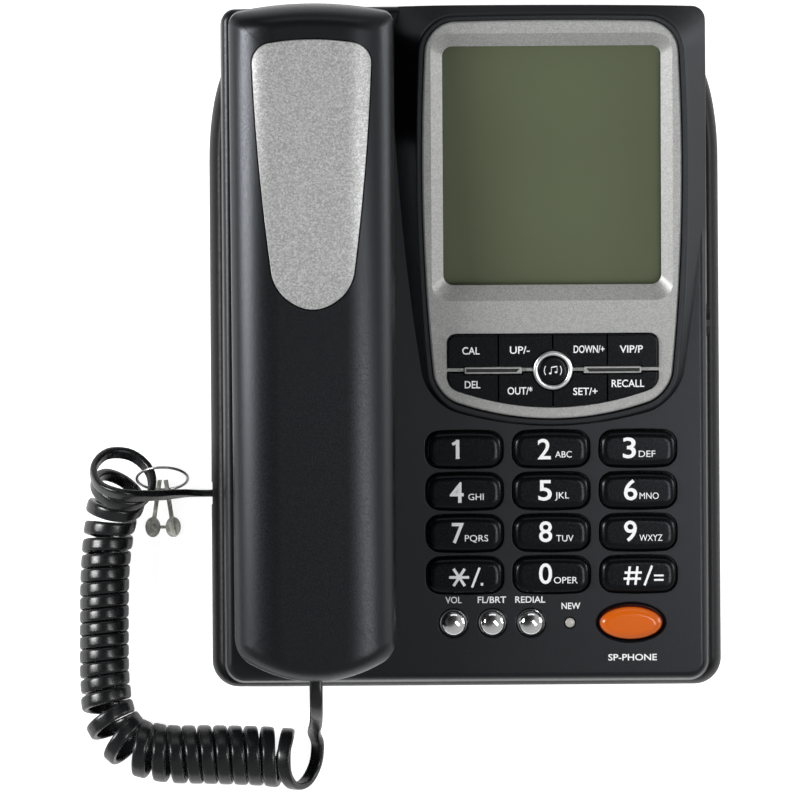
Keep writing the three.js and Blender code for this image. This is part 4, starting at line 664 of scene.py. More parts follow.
HANDSET_SHAPE = dict(
    rear=HANDSET_HALF_LENGTH - HANDSET_REAR_BULGE,
    front=-(HANDSET_HALF_LENGTH - HANDSET_FRONT_BULGE),
    half_rear=HANDSET_HALF_REAR,
    half_front=HANDSET_HALF_FRONT,
    rear_bulge=HANDSET_REAR_BULGE,
    front_bulge=HANDSET_FRONT_BULGE,
    rear_corner=3.4,
    front_corner=5,
)
HANDSET = outline_of(**HANDSET_SHAPE, steps=(24, 24, 10))
EAR_SHAPE = {**HANDSET_SHAPE, "front": 53, "half_front": HANDSET_HALF_REAR, "front_bulge": 0, "front_corner": 9}
MOUTH_SHAPE = {**HANDSET_SHAPE, "rear": -47.4, "half_rear": HANDSET_HALF_FRONT, "rear_bulge": 0, "rear_corner": 9}
EAR = outline_of(**EAR_SHAPE, steps=(8, 16, 10))
MOUTH = outline_of(**MOUTH_SHAPE, steps=(8, 16, 10))
INLAY_SHAPE = dict(
    rear=95.8 - 2.2,
    front=11.6 + 7.4,
    half_rear=18.7,
    half_front=12.3,
    side_bulge=1,
    rear_bulge=2.2,
    front_bulge=7.4,
    rear_corner=5.5,
    front_corner=3.6,
)

# Rows and columns of the keys in the face's plane
NUMBER_KEYS = ["1", "2", "3", "4", "5", "6", "7", "8", "9", "star", "0", "hash"]
NUMBER_COLUMN_X = 26.6
NUMBER_ROW_Y = -32.6
NUMBER_PITCH_X = 27.1
NUMBER_PITCH_Y = 13.2
LOWER_ROW_Y = -87.4
DOMED = {"volume_button": -4.1, "flash_button": 8.0, "redial_button": 20.1}
SPEAKER_X = 51.3
SPEAKER_KEY_HALVES = (9.9, 5.3)
LENS_X = 32.3
FEATURE_ROW_Y = -51.1
FEATURE_BAR_X = 18.6
FEATURE_BAR_HALF = 9

# Feet of the keys in the face's plane: they stand on the mat, and a flange under the face holds them in
KEY_FOOT = -5
FLANGE_LOW = -3.5
FLANGE_HIGH = -2.5
FLANGE_REACH = 0.7


def number_place(i):
    """Place of a number key in the face's plane."""
    return NUMBER_COLUMN_X + (i % 3 - 1) * NUMBER_PITCH_X, NUMBER_ROW_Y - (i // 3) * NUMBER_PITCH_Y


# Print


def lettering(text, size, x, y, z, matrix, weight=0.0, wide=0.0):
    """White print: letters as a thin raised mesh round x, y with their foot at z, drawn out to the wide of the word."""
    curve = bpy.data.curves.new("print", "FONT")
    curve.body = text
    curve.size = size
    curve.align_x = "CENTER"
    curve.align_y = "CENTER"
    curve.offset = weight
    curve.extrude = bpy.context.scene.telephone_sizes.legend_rise / MM / 2
    curve.resolution_u = 4
    made = bpy.data.objects.new("print", curve)
    bpy.context.scene.collection.objects.link(made)
    bpy.context.view_layer.update()
    data = bpy.data.meshes.new_from_object(made.evaluated_get(bpy.context.evaluated_depsgraph_get()))
    mesh = bmesh.new()
    mesh.from_mesh(data)
    bpy.data.objects.remove(made)
    bpy.data.curves.remove(curve)
    bpy.data.meshes.remove(data)
    bmesh.ops.remove_doubles(mesh, verts=mesh.verts, dist=1e-5)
    xs = [v.co.x for v in mesh.verts]
    ys = [v.co.y for v in mesh.verts]
    middle = Vector(((min(xs) + max(xs)) / 2, (min(ys) + max(ys)) / 2, 0))
    bmesh.ops.translate(mesh, vec=-middle, verts=mesh.verts)
    width = wide / (max(xs) - min(xs)) if wide else 1
    for v in mesh.verts:
        v.co = (v.co.x * width + x, v.co.y + y, v.co.z + z)
    return finished(mesh, matrix)


def strokes(lines, x, y, z, matrix):
    """White print of straight strokes, each from a point to a point with its width."""
    rise = bpy.context.scene.telephone_sizes.legend_rise / MM
    parts = []
    for k, (x0, y0, x1, y1, width) in enumerate(lines):
        across = Vector((y0 - y1, x1 - x0)).normalized() * width / 2
        start, end = Vector((x0, y0)), Vector((x1, y1))
        corners = [start - across, end - across, end + across, start + across]
        top = z + rise * (1 + k / 20)
        parts.append(stacked([[(c.x + x, c.y + y, height) for c in corners] for height in (z, top)], matrix))
    return parts


# Signs of the print that are drawn by strokes
STROKE_SIGNS = {
    "1": [(0.35, -3.0, 0.35, 3.0, 1.15), (-1.3, 1.5, 0.6, 2.6, 0.9)],
    "*": [(-1.75, -2.7, 1.75, 2.7, 0.85), (1.75, -2.7, -1.75, 2.7, 0.85), (-3.1, 0, 3.1, 0, 0.85)],
    "/": [(-1.2, -3.1, 1.2, 3.1, 0.7)],
    ".": [(-0.4, -2.6, 0.4, -2.6, 0.8)],
    "#": [
        (-1.55, -2.9, -0.85, 2.9, 0.75),
        (0.85, -2.9, 1.55, 2.9, 0.75),
        (-2.8, -0.95, 2.6, -0.95, 0.75),
        (-2.5, 0.95, 2.9, 0.95, 0.75),
    ],
    "=": [(-1.5, -1.3, 1.5, -1.3, 0.6), (-1.5, 0.1, 1.5, 0.1, 0.6)],
}


def stacked(rings, matrix=None, closed=False):
    """A solid of matching rings of points, capped at both ends, or closed on itself."""
    mesh = bmesh.new()
    made = [[mesh.verts.new(p) for p in ring] for ring in rings]
    pairs = list(zip(made, made[1:])) + ([(made[-1], made[0])] if closed else [])
    for lower, upper in pairs:
        for i in range(len(lower)):
            j = (i + 1) % len(lower)
            mesh.faces.new((lower[i], lower[j], upper[j], upper[i]))
    if not closed:
        mesh.faces.new(list(reversed(made[0])))
        mesh.faces.new(made[-1])
    return finished(mesh, matrix)


def ring_of(profile, matrix=None, steps=64):
    """A ring turned from a closed profile of [radius, height] points."""
    rings = [
        [(r * math.cos(2 * math.pi * k / steps), r * math.sin(2 * math.pi * k / steps), z) for r, z in profile]
        for k in range(steps)
    ]
    return stacked(rings, matrix, closed=True)


def at(matrix, x, y, z=0):
    """The plane moved to a place on it."""
    return matrix @ Matrix.Translation((x, y, z))


def retextured(name, material_name, bevel=0.0):
    """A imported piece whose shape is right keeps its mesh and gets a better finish."""
    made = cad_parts[name]
    made.data.materials.clear()
    made.data.materials.append(material(material_name))
    for face in made.data.polygons:
        face.material_index = 0
    if bevel:
        soft = made.modifiers.new("edges", "BEVEL")
        soft.width = bevel * MM
        soft.segments = 2
        soft.limit_method = "ANGLE"
        soft.angle_limit = math.radians(40)
    return made


class TelephoneOperator:
    """Shared by the operators of the telephone's pieces."""

    bl_options = {"REGISTER", "UNDO"}

    def execute(self, context):
        self.build()
        return {"FINISHED"}


# Stage


def softbox(name, place, aim, width, height, radiance):
    """A soft rectangular light of that radiance."""
    data = bpy.data.lights.new(name, "AREA")
    data.shape = "RECTANGLE"
    data.size = width
    data.size_y = height
    data.energy = radiance * math.pi * width * height
    made = bpy.data.objects.new(name, data)
    made.location = place
    made.rotation_euler = (Vector(aim) - Vector(place)).to_track_quat("-Z", "Y").to_euler()
    bpy.context.scene.collection.objects.link(made)
    return made


FLOOR_DROP = 0.0002
# The camera stands straight above, as far away as the photograph's perspective asks for
CAMERA_PLACE = (-0.02042, -0.01684, 5.05)
CAMERA_TURN = (0, 0, -0.00666)
CAMERA_LENS = 722
# Soft lights: place, the point they look at, width, height and radiance
LIGHTS = {
    "left_light": ((-0.6, 0.02, 0.43), (-0.03, 0.02, 0), 0.22, 0.28, 25.0),
    "right_light": ((1.0, 0.12, 0.3), (0, 0, 0), 0.5, 0.4, 6.5),
    "rear_light": ((0.05, 1.25, 0.95), (0, 0, 0), 1.2, 0.5, 0.9),
    "upper_light": ((0.2, -0.16, 0.5), (0.06, 0, 0), 0.1, 0.28, 8.5),
}
# The studio grows darker towards this side, in these steps
STUDIO_DARK_SIDE = (-0.45, 0.4, 0.8)
STUDIO_GREYS = [(0.0, (0.44,) * 3), (0.55, (0.34,) * 3), (0.76, (0.07,) * 3), (1.0, (0.015,) * 3)]


def studio_world():
    """A grey studio for the reflections, white to the camera."""
    world = bpy.data.worlds.new("studio")
    world.use_nodes = True
    tree = world.node_tree
    tree.nodes.clear()
    direction = node(tree, "ShaderNodeTexCoord", (-900, 0)).outputs["Generated"]
    turned_to = node(tree, "ShaderNodeVectorMath", (-700, 0))
    turned_to.operation = "DOT_PRODUCT"
    tree.links.new(direction, turned_to.inputs[0])
    turned_to.inputs[1].default_value = STUDIO_DARK_SIDE
    tint = ramp(tree, (-500, 0), turned_to.outputs["Value"], STUDIO_GREYS)
    around = node(tree, "ShaderNodeBackground", (-200, 0), Color=tint, Strength=1.0)
    white = node(tree, "ShaderNodeBackground", (-200, 200), Color=(1, 1, 1, 1), Strength=1.0)
    seen = node(tree, "ShaderNodeLightPath", (-200, 500)).outputs["Is Camera Ray"]
    choose = node(tree, "ShaderNodeMixShader", (100, 100), Fac=seen)
    tree.links.new(around.outputs["Background"], choose.inputs[1])
    tree.links.new(white.outputs["Background"], choose.inputs[2])
    output = node(tree, "ShaderNodeOutputWorld", (300, 100))
    tree.links.new(choose.outputs["Shader"], output.inputs["Surface"])
    return world


class TELEPHONE_OT_stage(TelephoneOperator, bpy.types.Operator):
    """White floor, soft lights round the telephone and the camera straight above it"""

    bl_idname = "telephone.stage"
    bl_label = "Stage"

    def build(self):
        scene = bpy.context.scene
        scene.view_settings.view_transform = "Standard"
        camera = bpy.data.objects.new("camera", bpy.data.cameras.new("camera"))
        camera.data.sensor_width = 36
        camera.data.lens = CAMERA_LENS
        camera.location = CAMERA_PLACE
        camera.rotation_euler = CAMERA_TURN
        scene.collection.objects.link(camera)
        scene.camera = camera
        floor_mesh = bmesh.new()
        bmesh.ops.create_grid(floor_mesh, x_segments=24, y_segments=24, size=6)
        bmesh.ops.translate(floor_mesh, vec=(0, 0, -FLOOR_DROP), verts=floor_mesh.verts)
        floor = piece("floor", floor_mesh, ["floor_paper"], None, smooth=0)
        for name, (place, aim, width, height, radiance) in LIGHTS.items():
            softbox(name, place, aim, width, height, radiance)
        scene.world = studio_world()


# Cord

CURL_STEPS = 8
CURL_COUNT = 28
OPEN_PITCH = 9.5
CORD_SIDES = 16
STEPS_BETWEEN_KNOTS = 5
AXIS_STEPS = 2400
CURL_START_TURN = 190 / 360
CURL_END_TURN = 90 / 360
# Powers that round the corners of the flat section across its wide and its narrow side
WIDE_POWER = 0.5
THIN_POWER = 0.62
# Place on the curls' axis, radius of the curls and distance from curl to curl
CURL_AXIS = [
    ((-49.3, -129.7, 13.3), 8.7, 9.5),
    ((-55.8, -129.2, 10.6), 8.5, 8.2),
    ((-64, -128.4, 9.9), 8.3, 5),
    ((-80, -127.8, 9.8), 8.2, 4.7),
    ((-96, -127.2, 9.6), 8, 5.4),
    ((-106, -124, 9.3), 7.7, 7.4),
    ((-112, -116, 8.9), 7.2, 7.2),
    ((-113.6, -106, 8.3), 6.7, 4.6),
    ((-113.8, -88, 8.2), 6.6, 4.1),
    ((-113.3, -68, 8.2), 6.6, 4.4),
    ((-111.6, -54.6, 8.6), 6.9, 6.3),
    ((-109.3, -46.6, 11.6), 8.1, 8.5),
    ((-106.8, -40.6, 17.4), 9.3, 8.6),
    ((-106.3, -37.6, 21), 11, 8.6),
]
# The straight ends of the cord, from the handset's jack and to the base's socket
HANDSET_LEAD = [
    (-47.2, -103.28, 43.95),
    (-47.2, -105.5, 43.7),
    (-47.2, -107.7, 43.45),
    (-47.2, -111.2, 42.2),
    (-47.2, -114.4, 38.2),
    (-47.3, -116.6, 32),
    (-47.5, -118.4, 25.2),
]
BASE_LEAD = [
    (-100.1, -46.3, 23.6),
    (-95.6, -46.2, 20.9),
    (-91.1, -45.9, 16.4),
    (-87, -45.7, 12.8),
    (-83, -45.7, 11.3),
    (-80.6, -45.7, 11.25),
    (-78.3, -45.7, 11.25),
]


def spline(points):
    """A smooth curve through the points, as a function of its share from the first point to the last."""
    points = [Vector(p) for p in points]
    count = len(points) - 1

    def along(t):
        k = min(int(t * count), count - 1)
        weight = t * count - k
        p1, p2 = points[k], points[k + 1]
        p0 = points[k - 1] if k else p1 * 2 - p2
        p3 = points[k + 2] if k + 2 <= count else p2 * 2 - p1
        gaps = [max((b - a).length ** 0.5, 1e-4) for a, b in ((p0, p1), (p1, p2), (p2, p3))]
        start = ((p1 - p0) / gaps[0] - (p2 - p0) / (gaps[0] + gaps[1]) + (p2 - p1) / gaps[1]) * gaps[1]
        end = ((p2 - p1) / gaps[1] - (p3 - p1) / (gaps[1] + gaps[2]) + (p3 - p2) / gaps[2]) * gaps[1]
        square, cube = weight * weight, weight**3
        return (
            p1
            + start * weight
            + (p1 * -3 + p2 * 3 - start * 2 - end) * square
            + (p1 * 2 - p2 * 2 + start + end) * cube
        )

    return along


def between(table, share):
    """The value at a share, between the rows [share, value] of a table."""
    for (a, low), (b, high) in zip(table, table[1:]):
        if share <= b or b == table[-1][0]:
            return low + (high - low) * min(max((share - a) / (b - a), 0), 1)


def curls():
    """Points of the curls, the direction of their axis there and the distance to the next curl."""
    axis = spline([p for p, _, _ in CURL_AXIS])
    fine = AXIS_STEPS
    places = [axis(i / fine) for i in range(fine + 1)]
    run = [0.0]
    for a, b in zip(places, places[1:]):
        run.append(run[-1] + (b - a).length)
    total = run[-1]
    knots = [run[fine * k // (len(CURL_AXIS) - 1)] / total for k in range(len(CURL_AXIS))]
    radii = list(zip(knots, [r for _, r, _ in CURL_AXIS]))
    pitches = list(zip(knots, [p for _, _, p in CURL_AXIS]))
    turned_so_far = [0.0]
    for i in range(fine):
        middle = (run[i] + run[i + 1]) / 2 / total
        turned_so_far.append(turned_so_far[-1] + (run[i + 1] - run[i]) / between(pitches, middle))
    turns = CURL_COUNT + CURL_END_TURN - CURL_START_TURN
    steps = round(turns * CURL_STEPS)
    rows = []
    i = 0
    for k in range(steps + 1):
        wanted = turned_so_far[-1] * k / steps
        while i < fine - 1 and turned_so_far[i + 1] < wanted:
            i += 1
        mix = min(max((wanted - turned_so_far[i]) / (turned_so_far[i + 1] - turned_so_far[i]), 0), 1)
        here = places[i].lerp(places[i + 1], mix)
        share = (run[i] + (run[i + 1] - run[i]) * mix) / total
        forward = (places[min(i + 2, fine)] - places[max(i - 1, 0)]).normalized()
        level = Vector((0, 0, 1)).cross(forward).normalized()
        upward = forward.cross(level)
        turn = 2 * math.pi * (CURL_START_TURN + turns * k / steps)
        reach = level * math.cos(turn) + upward * math.sin(turn)
        rows.append((here + reach * between(radii, share), forward, between(pitches, share)))
    return rows


class TELEPHONE_OT_cord(TelephoneOperator, bpy.types.Operator):
    """Flat curly cord from the handset's front end to the socket in the left side"""

    bl_idname = "telephone.cord"
    bl_label = "Curly cord"

    def build(self):
        sizes = bpy.context.scene.telephone_sizes
        rows = curls()
        flat, upright = Vector((-1, 0, 0)), Vector((0, 0, 1))
        first = [
            (Vector(p), flat.lerp(rows[0][1], max(0, k - 2) / len(HANDSET_LEAD)), OPEN_PITCH)
            for k, p in enumerate(HANDSET_LEAD)
        ]
        last = [
            (Vector(p), rows[-1][1].lerp(upright, min(1, (k + 1) / (len(BASE_LEAD) - 2))), OPEN_PITCH)
            for k, p in enumerate(BASE_LEAD)
        ]
        knots = first + rows + last
        path = spline([p for p, _, _ in knots])
        wides = spline([w for _, w, _ in knots])
        pitch = spline([Vector((p, 0, 0)) for _, _, p in knots])
        count = (len(knots) - 1) * STEPS_BETWEEN_KNOTS
        points = [path(k / count) for k in range(count + 1)]
        rings = []
        for k, p in enumerate(points):
            ahead = points[min(k + 1, count)]
            behind = points[max(k - 1, 0)]
            forward = (ahead - behind).normalized()
            wide = wides(k / count)
            wide = (wide - forward * forward.dot(wide)).normalized()
            thin = forward.cross(wide)
            widest = pitch(k / count).x - 0.2
            half_wide = min(sizes.cord_width / MM, widest) / 2
            half_thin = sizes.cord_thickness / MM / 2
            ring = []
            for i in range(CORD_SIDES):
                turn = 2 * math.pi * (i + 0.5) / CORD_SIDES
                c, s = math.cos(turn), math.sin(turn)
                ring.append(
                    p
                    + wide * half_wide * math.copysign(abs(c) ** WIDE_POWER, c)
                    + thin * half_thin * math.copysign(abs(s) ** THIN_POWER, s)
                )
            rings.append(ring)
        tube = stacked(rings, FLOOR_FRAME)
        made = piece("curly_cord", tube, ["cord_black"], None, ["handset_cord"], smooth=60)
        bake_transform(made)


# Case


def corners_of(side_inset, end_inset):
    """Four places under the case, at the same insets from its sides and its ends."""
    x, y = CASE_HALF_WIDTH - side_inset, CASE_HALF_LENGTH - end_inset
    return [(sx * x, sy * y) for sx in (1, -1) for sy in (1, -1)]


# Screws and feet under the case
SCREW_PLACES = corners_of(9, 24)
FOOT_PLACES = corners_of(13, 17)
SCREW_RADIUS = 1.3
SCREW_BORE = 1.6
SCREW_END = 18
BOSS_RADIUS = 3.4
WELL_RADIUS = 3.2
WELL_DEPTH = 3.4
FOOT_CUT_RADIUS = 6.3
FOOT_SEAT = 0.8

# The pod's outline grows downwards from the bezel, with a rim of this width round it
POD_RIM = 1.6
COLUMN_TOP = 90
CUT_LOW = -20
CUT_HIGH = 3


def rod(x, y, profile, matrix=None, steps=32):
    """A turned solid at a place on a plane."""
    return turned(profile, (matrix or FLOOR_FRAME) @ Matrix.Translation((x, y, 0)), steps)


def face_slope(drop):
    """The sloping face, or a surface under it."""
    return lambda x, y: face_height(y) - drop


class TELEPHONE_OT_top_case(TelephoneOperator, bpy.types.Operator):
    """Top case with the raised display pod, the handset's wells and the openings of the keys"""

    bl_idname = "telephone.top_case"
    bl_label = "Top case"

    def build(self):
        outside = loft(CASE, [(0, CASE_RIM), *roll(0.7, face_slope(2.2), 2.9, face_slope(0), 8)], FLOOR_FRAME)
        whole = joined(outside, self.pod())
        ceiling = [(WALL, PARTING_HEIGHT - 3), (2.9, face_slope(2 * WALL)), (4.0, face_slope(WALL))]
        whole = carved(whole, loft(CASE, ceiling, FLOOR_FRAME))
        whole = carved(whole, loft(BEZEL, [(0.3, CUT_LOW), (0.3, -4.8)], POD_FRAME))
        cup_foot, cup_top = CUP_FOOT_INSET - CUP_CLEARANCE, CUP_TOP_INSET - CUP_CLEARANCE
        for outline in (EAR, MOUTH):
            whole = joined(whole, loft(outline, [(cup_foot - WALL, -24.5), (cup_top - WALL, -16.1)], HANDSET_FRAME))
        whole = carved(whole, loft(BEZEL, [(-0.3, -2.6), (-0.3, -0.3), (-0.45, 0.05), (-0.45, CUT_HIGH)], POD_FRAME))
        whole = carved(whole, loft(BEZEL, [(2.5, CUT_LOW), (2.5, -2)], POD_FRAME))
        well = [(cup_foot, -22.3), (cup_top, -16.5), (cup_top - 0.15, -15.6), (cup_top - 0.7, -15.05)]
        well += [(cup_top - 1.4, -14.9), (cup_top - 1.4, CUT_HIGH)]
        whole = carved(whole, gathered([loft(outline, well, HANDSET_FRAME) for outline in (EAR, MOUTH)]))
        whole = carved(whole, gathered(self.key_openings()))
        hook = block((-4.35, HOOK_Y - 3.35, -27), (4.35, HOOK_Y + 3.35, -19), HANDSET_FRAME)
        whole = carved(whole, hook)
        lock = FLOOR_FRAME @ Matrix.Translation((0, LOCK_Y, LOCK_HEIGHT)) @ Matrix.Rotation(math.pi / 2, 4, "Y")
        whole = joined(whole, turned([(0, 71.5), (7.3, 71.5), (7.3, 74.9), (0, 74.9)], lock))
        whole = carved(whole, turned([(0, 70), (4.55, 70), (4.55, 74.1), (5.45, 74.1), (5.45, 80), (0, 80)], lock))
        piece("top_case_shell", whole, ["case_black"], "base", ["top_case"], smooth=32)

    @staticmethod
    def pod():
        """The raised pod: a cone from the bezel's outline down into the face, kept inside the case's sides."""
        levels = [
            (-POD_RIM - 12 * POD_SLOPE, -12),
            (-POD_RIM - 0.8 * POD_SLOPE - 0.25, -1.1),
            (-POD_RIM - 0.8 * POD_SLOPE, -0.75),
            (-POD_RIM - 0.35, -0.22),
            (-POD_RIM, -0.04),
            (0.25 - POD_RIM, 0),
        ]
        column = loft(CASE, [(0.7, 0), (0.7, COLUMN_TOP)], FLOOR_FRAME)
        return carved(loft(BEZEL, levels, POD_FRAME), column, "INTERSECT")

    @staticmethod
    def key_openings():
        """Cutters with rolled lips for the number keys, the domed buttons, the lens and the oval key."""
        lip = [(-0.35, -3.5), (-0.35, -0.5), (-0.42, -0.25), (-0.6, -0.07), (-0.85, 0.02), (-0.85, CUT_HIGH)]
        keys = [loft(NUMBER, lip, at(FACE_FRAME, *number_place(i))) for i in range(len(NUMBER_KEYS))]
        dome = [(0, -3.5), (4.25, -3.5), (4.25, -0.8), (4.4, -0.45), (4.8, -0.1), (5.0, 0.02), (5.0, CUT_HIGH)]
        for x in DOMED.values():
            keys.append(rod(x, LOWER_ROW_Y, [*dome, (0, CUT_HIGH)], FACE_FRAME, 48))
        lens = [(0, -6), (1.8, -6), (1.8, -0.2), (1.95, 0.02), (1.95, CUT_HIGH), (0, CUT_HIGH)]
        keys.append(rod(LENS_X, LOWER_ROW_Y, lens, FACE_FRAME, 32))
        oval = [(-0.35, -3.5), (-0.35, -0.8), (-0.6, -0.4), (-1.2, -0.05), (-1.4, 0.02), (-1.4, CUT_HIGH)]
        keys.append(loft(oval_of(*SPEAKER_KEY_HALVES), oval, at(FACE_FRAME, SPEAKER_X, LOWER_ROW_Y)))
        return keys


class TELEPHONE_OT_bottom_case(TelephoneOperator, bpy.types.Operator):
    """Bottom case with its flared skirt, the battery bay, the loudspeaker's slots and the screws' bores"""

    bl_idname = "telephone.bottom_case"
    bl_label = "Bottom case"

    def build(self):
        tray = [(3.8, FOOT_HEIGHT), (3.0, 2.62), (1.9, 3.3), (1.1, 4.3), (0.8, 5.5), (0.8, TRAY_RIM)]
        skirt = [(5, FOOT_HEIGHT), (3.2, 2.9), (1.25, 4.5), (0.3, 6.6), (0, 8.5)]
        skirt += roll(0, TRAY_RIM - 8, 4.0, TRAY_RIM, 10)
        whole = joined(loft(CASE, tray, FLOOR_FRAME), loft(SKIRT, skirt, FLOOR_FRAME))
        whole = carved(whole, loft(CASE, [(3.0, FOOT_HEIGHT + WALL), (3.0, PARTING_HEIGHT + 3)], FLOOR_FRAME))
        floor_middle = FOOT_HEIGHT + WALL / 2
        bay_front, bay_right, bay_top = BAY_Y - BAY_LENGTH, BAY_X + BAY_WIDTH, FOOT_HEIGHT + BAY_DEPTH
        walls = block(
            (BAY_X - WALL, bay_front - WALL, floor_middle),
            (bay_right + WALL, BAY_Y + WALL, bay_top + WALL),
            FLOOR_FRAME,
        )
        whole = joined(whole, walls)
        boss = [(0, floor_middle), (BOSS_RADIUS, floor_middle), (BOSS_RADIUS, TRAY_RIM), (0, TRAY_RIM)]
        whole = joined(whole, gathered([rod(x, y, boss) for x, y in SCREW_PLACES]))
        corners = (BAY_X + BAY_LEDGE, bay_front + BAY_LEDGE, -1), (bay_right - BAY_LEDGE, BAY_Y - BAY_LEDGE, bay_top)
        bay = block(*corners, FLOOR_FRAME)
        door = block((BAY_X, bay_front, -1), (bay_right, BAY_Y, 4.8), FLOOR_FRAME)
        bore = [(0, 1), (SCREW_BORE, 1), (SCREW_BORE, PARTING_HEIGHT + 3), (0, PARTING_HEIGHT + 3)]
        well = [(0, 0), (WELL_RADIUS, 0), (WELL_RADIUS, WELL_DEPTH), (0, WELL_DEPTH)]
        foot_top = FOOT_HEIGHT + FOOT_SEAT
        foot = [(0, 0), (FOOT_CUT_RADIUS, 0), (FOOT_CUT_RADIUS, foot_top), (0, foot_top)]
        for cutter in (
            bay,
            door,
            gathered([rod(x, y, bore) for x, y in SCREW_PLACES]),
            gathered([rod(x, y, well) for x, y in SCREW_PLACES]),
            gathered([rod(x, y, foot) for x, y in FOOT_PLACES]),
            gathered(self.speaker_slots()),
            gathered(self.socket_windows()),
        ):
            whole = carved(whole, cutter)
        piece("bottom_case_shell", whole, ["base_black"], "base", ["bottom_case"], smooth=32)

    @staticmethod
    def speaker_slots():
        """Seven slots in a round patch under the loudspeaker."""
        slots = []
        for i in range(7):
            offset = (i - 3) * 5
            reach = math.sqrt(SPEAKER_MAGNET_RADIUS**2 * 2 - offset**2 / 2)
            low = (HANDSET_X - reach, SPEAKER_Y + offset - 1, 0)
            slots.append(block(low, (HANDSET_X + reach, SPEAKER_Y + offset + 1, 8), FLOOR_FRAME))
        return slots

    @staticmethod
    def socket_windows():
        """Windows for the line jack at the rear and the cord socket in the left side."""
        line, cord = (4.9, 3.5), (3.5, 4.1)
        return [
            block(
                (LINE_JACK_X - line[0], 100, SOCKET_HEIGHT - line[1]),
                (LINE_JACK_X + line[0], 112, SOCKET_HEIGHT + line[1]),
                FLOOR_FRAME,
            ),
            block(
                (-86, CORD_SOCKET_Y - cord[0], SOCKET_HEIGHT - cord[1]),
                (-71, CORD_SOCKET_Y + cord[0], SOCKET_HEIGHT + cord[1]),
                FLOOR_FRAME,
            ),
        ]


class TELEPHONE_OT_underside(TelephoneOperator, bpy.types.Operator):
    """Feet, battery door and the four case screws in their bores"""

    bl_idname = "telephone.underside"
    bl_label = "Underside"

    def build(self):
        for end in ("rear", "front"):
            for side in ("left", "right"):
                retextured(f"foot_{end}_{side}", "foot_rubber")
        retextured("battery_door", "base_black", 0.3)
        screw = [(0, 2.7), (1.4, 2.7), (1.8, 2.85), (1.95, 3.15), (1.95, 3.35), (SCREW_RADIUS, 3.35)]
        screw += [(SCREW_RADIUS, SCREW_END), (0, SCREW_END)]
        screws = []
        for x, y in SCREW_PLACES:
            made = rod(x, y, screw)
            for half_x, half_y in ((1.2, 0.22), (0.22, 1.2)):
                slot = block((x - half_x, y - half_y, FOOT_HEIGHT), (x + half_x, y + half_y, 3.2), FLOOR_FRAME)
                made = carved(made, slot)
            screws.append(made)
        piece("case_screws", gathered(screws), ["steel"], "base")


# Display


def funnel_rings():
    """Rings of the sloping frame from the window up to the bezel's face."""
    window = outline_of(**WINDOW, steps=(8, 8, 12))(0)
    shape = {**WINDOW, "rear": WINDOW["rear"] + 4.5, "front": WINDOW["front"] - 4.5}
    shape.update(half_rear=37.6, half_front=37.6, rear_corner=5.5, front_corner=5.5)
    chamfer = outline_of(**shape, steps=(8, 8, 12))(0)
    rings = [[(p.x, p.y, -8) for p in window], [(p.x, p.y, -3.4) for p in window]]
    rings.append([(p.x, p.y, -0.5) for p in chamfer])
    rings.append([(p.x, p.y, 3) for p in chamfer])
    return rings


PLATE_LOW = -2.3
WEB_HIGH = -0.9
RING_SEAT_RADIUS = 6.25


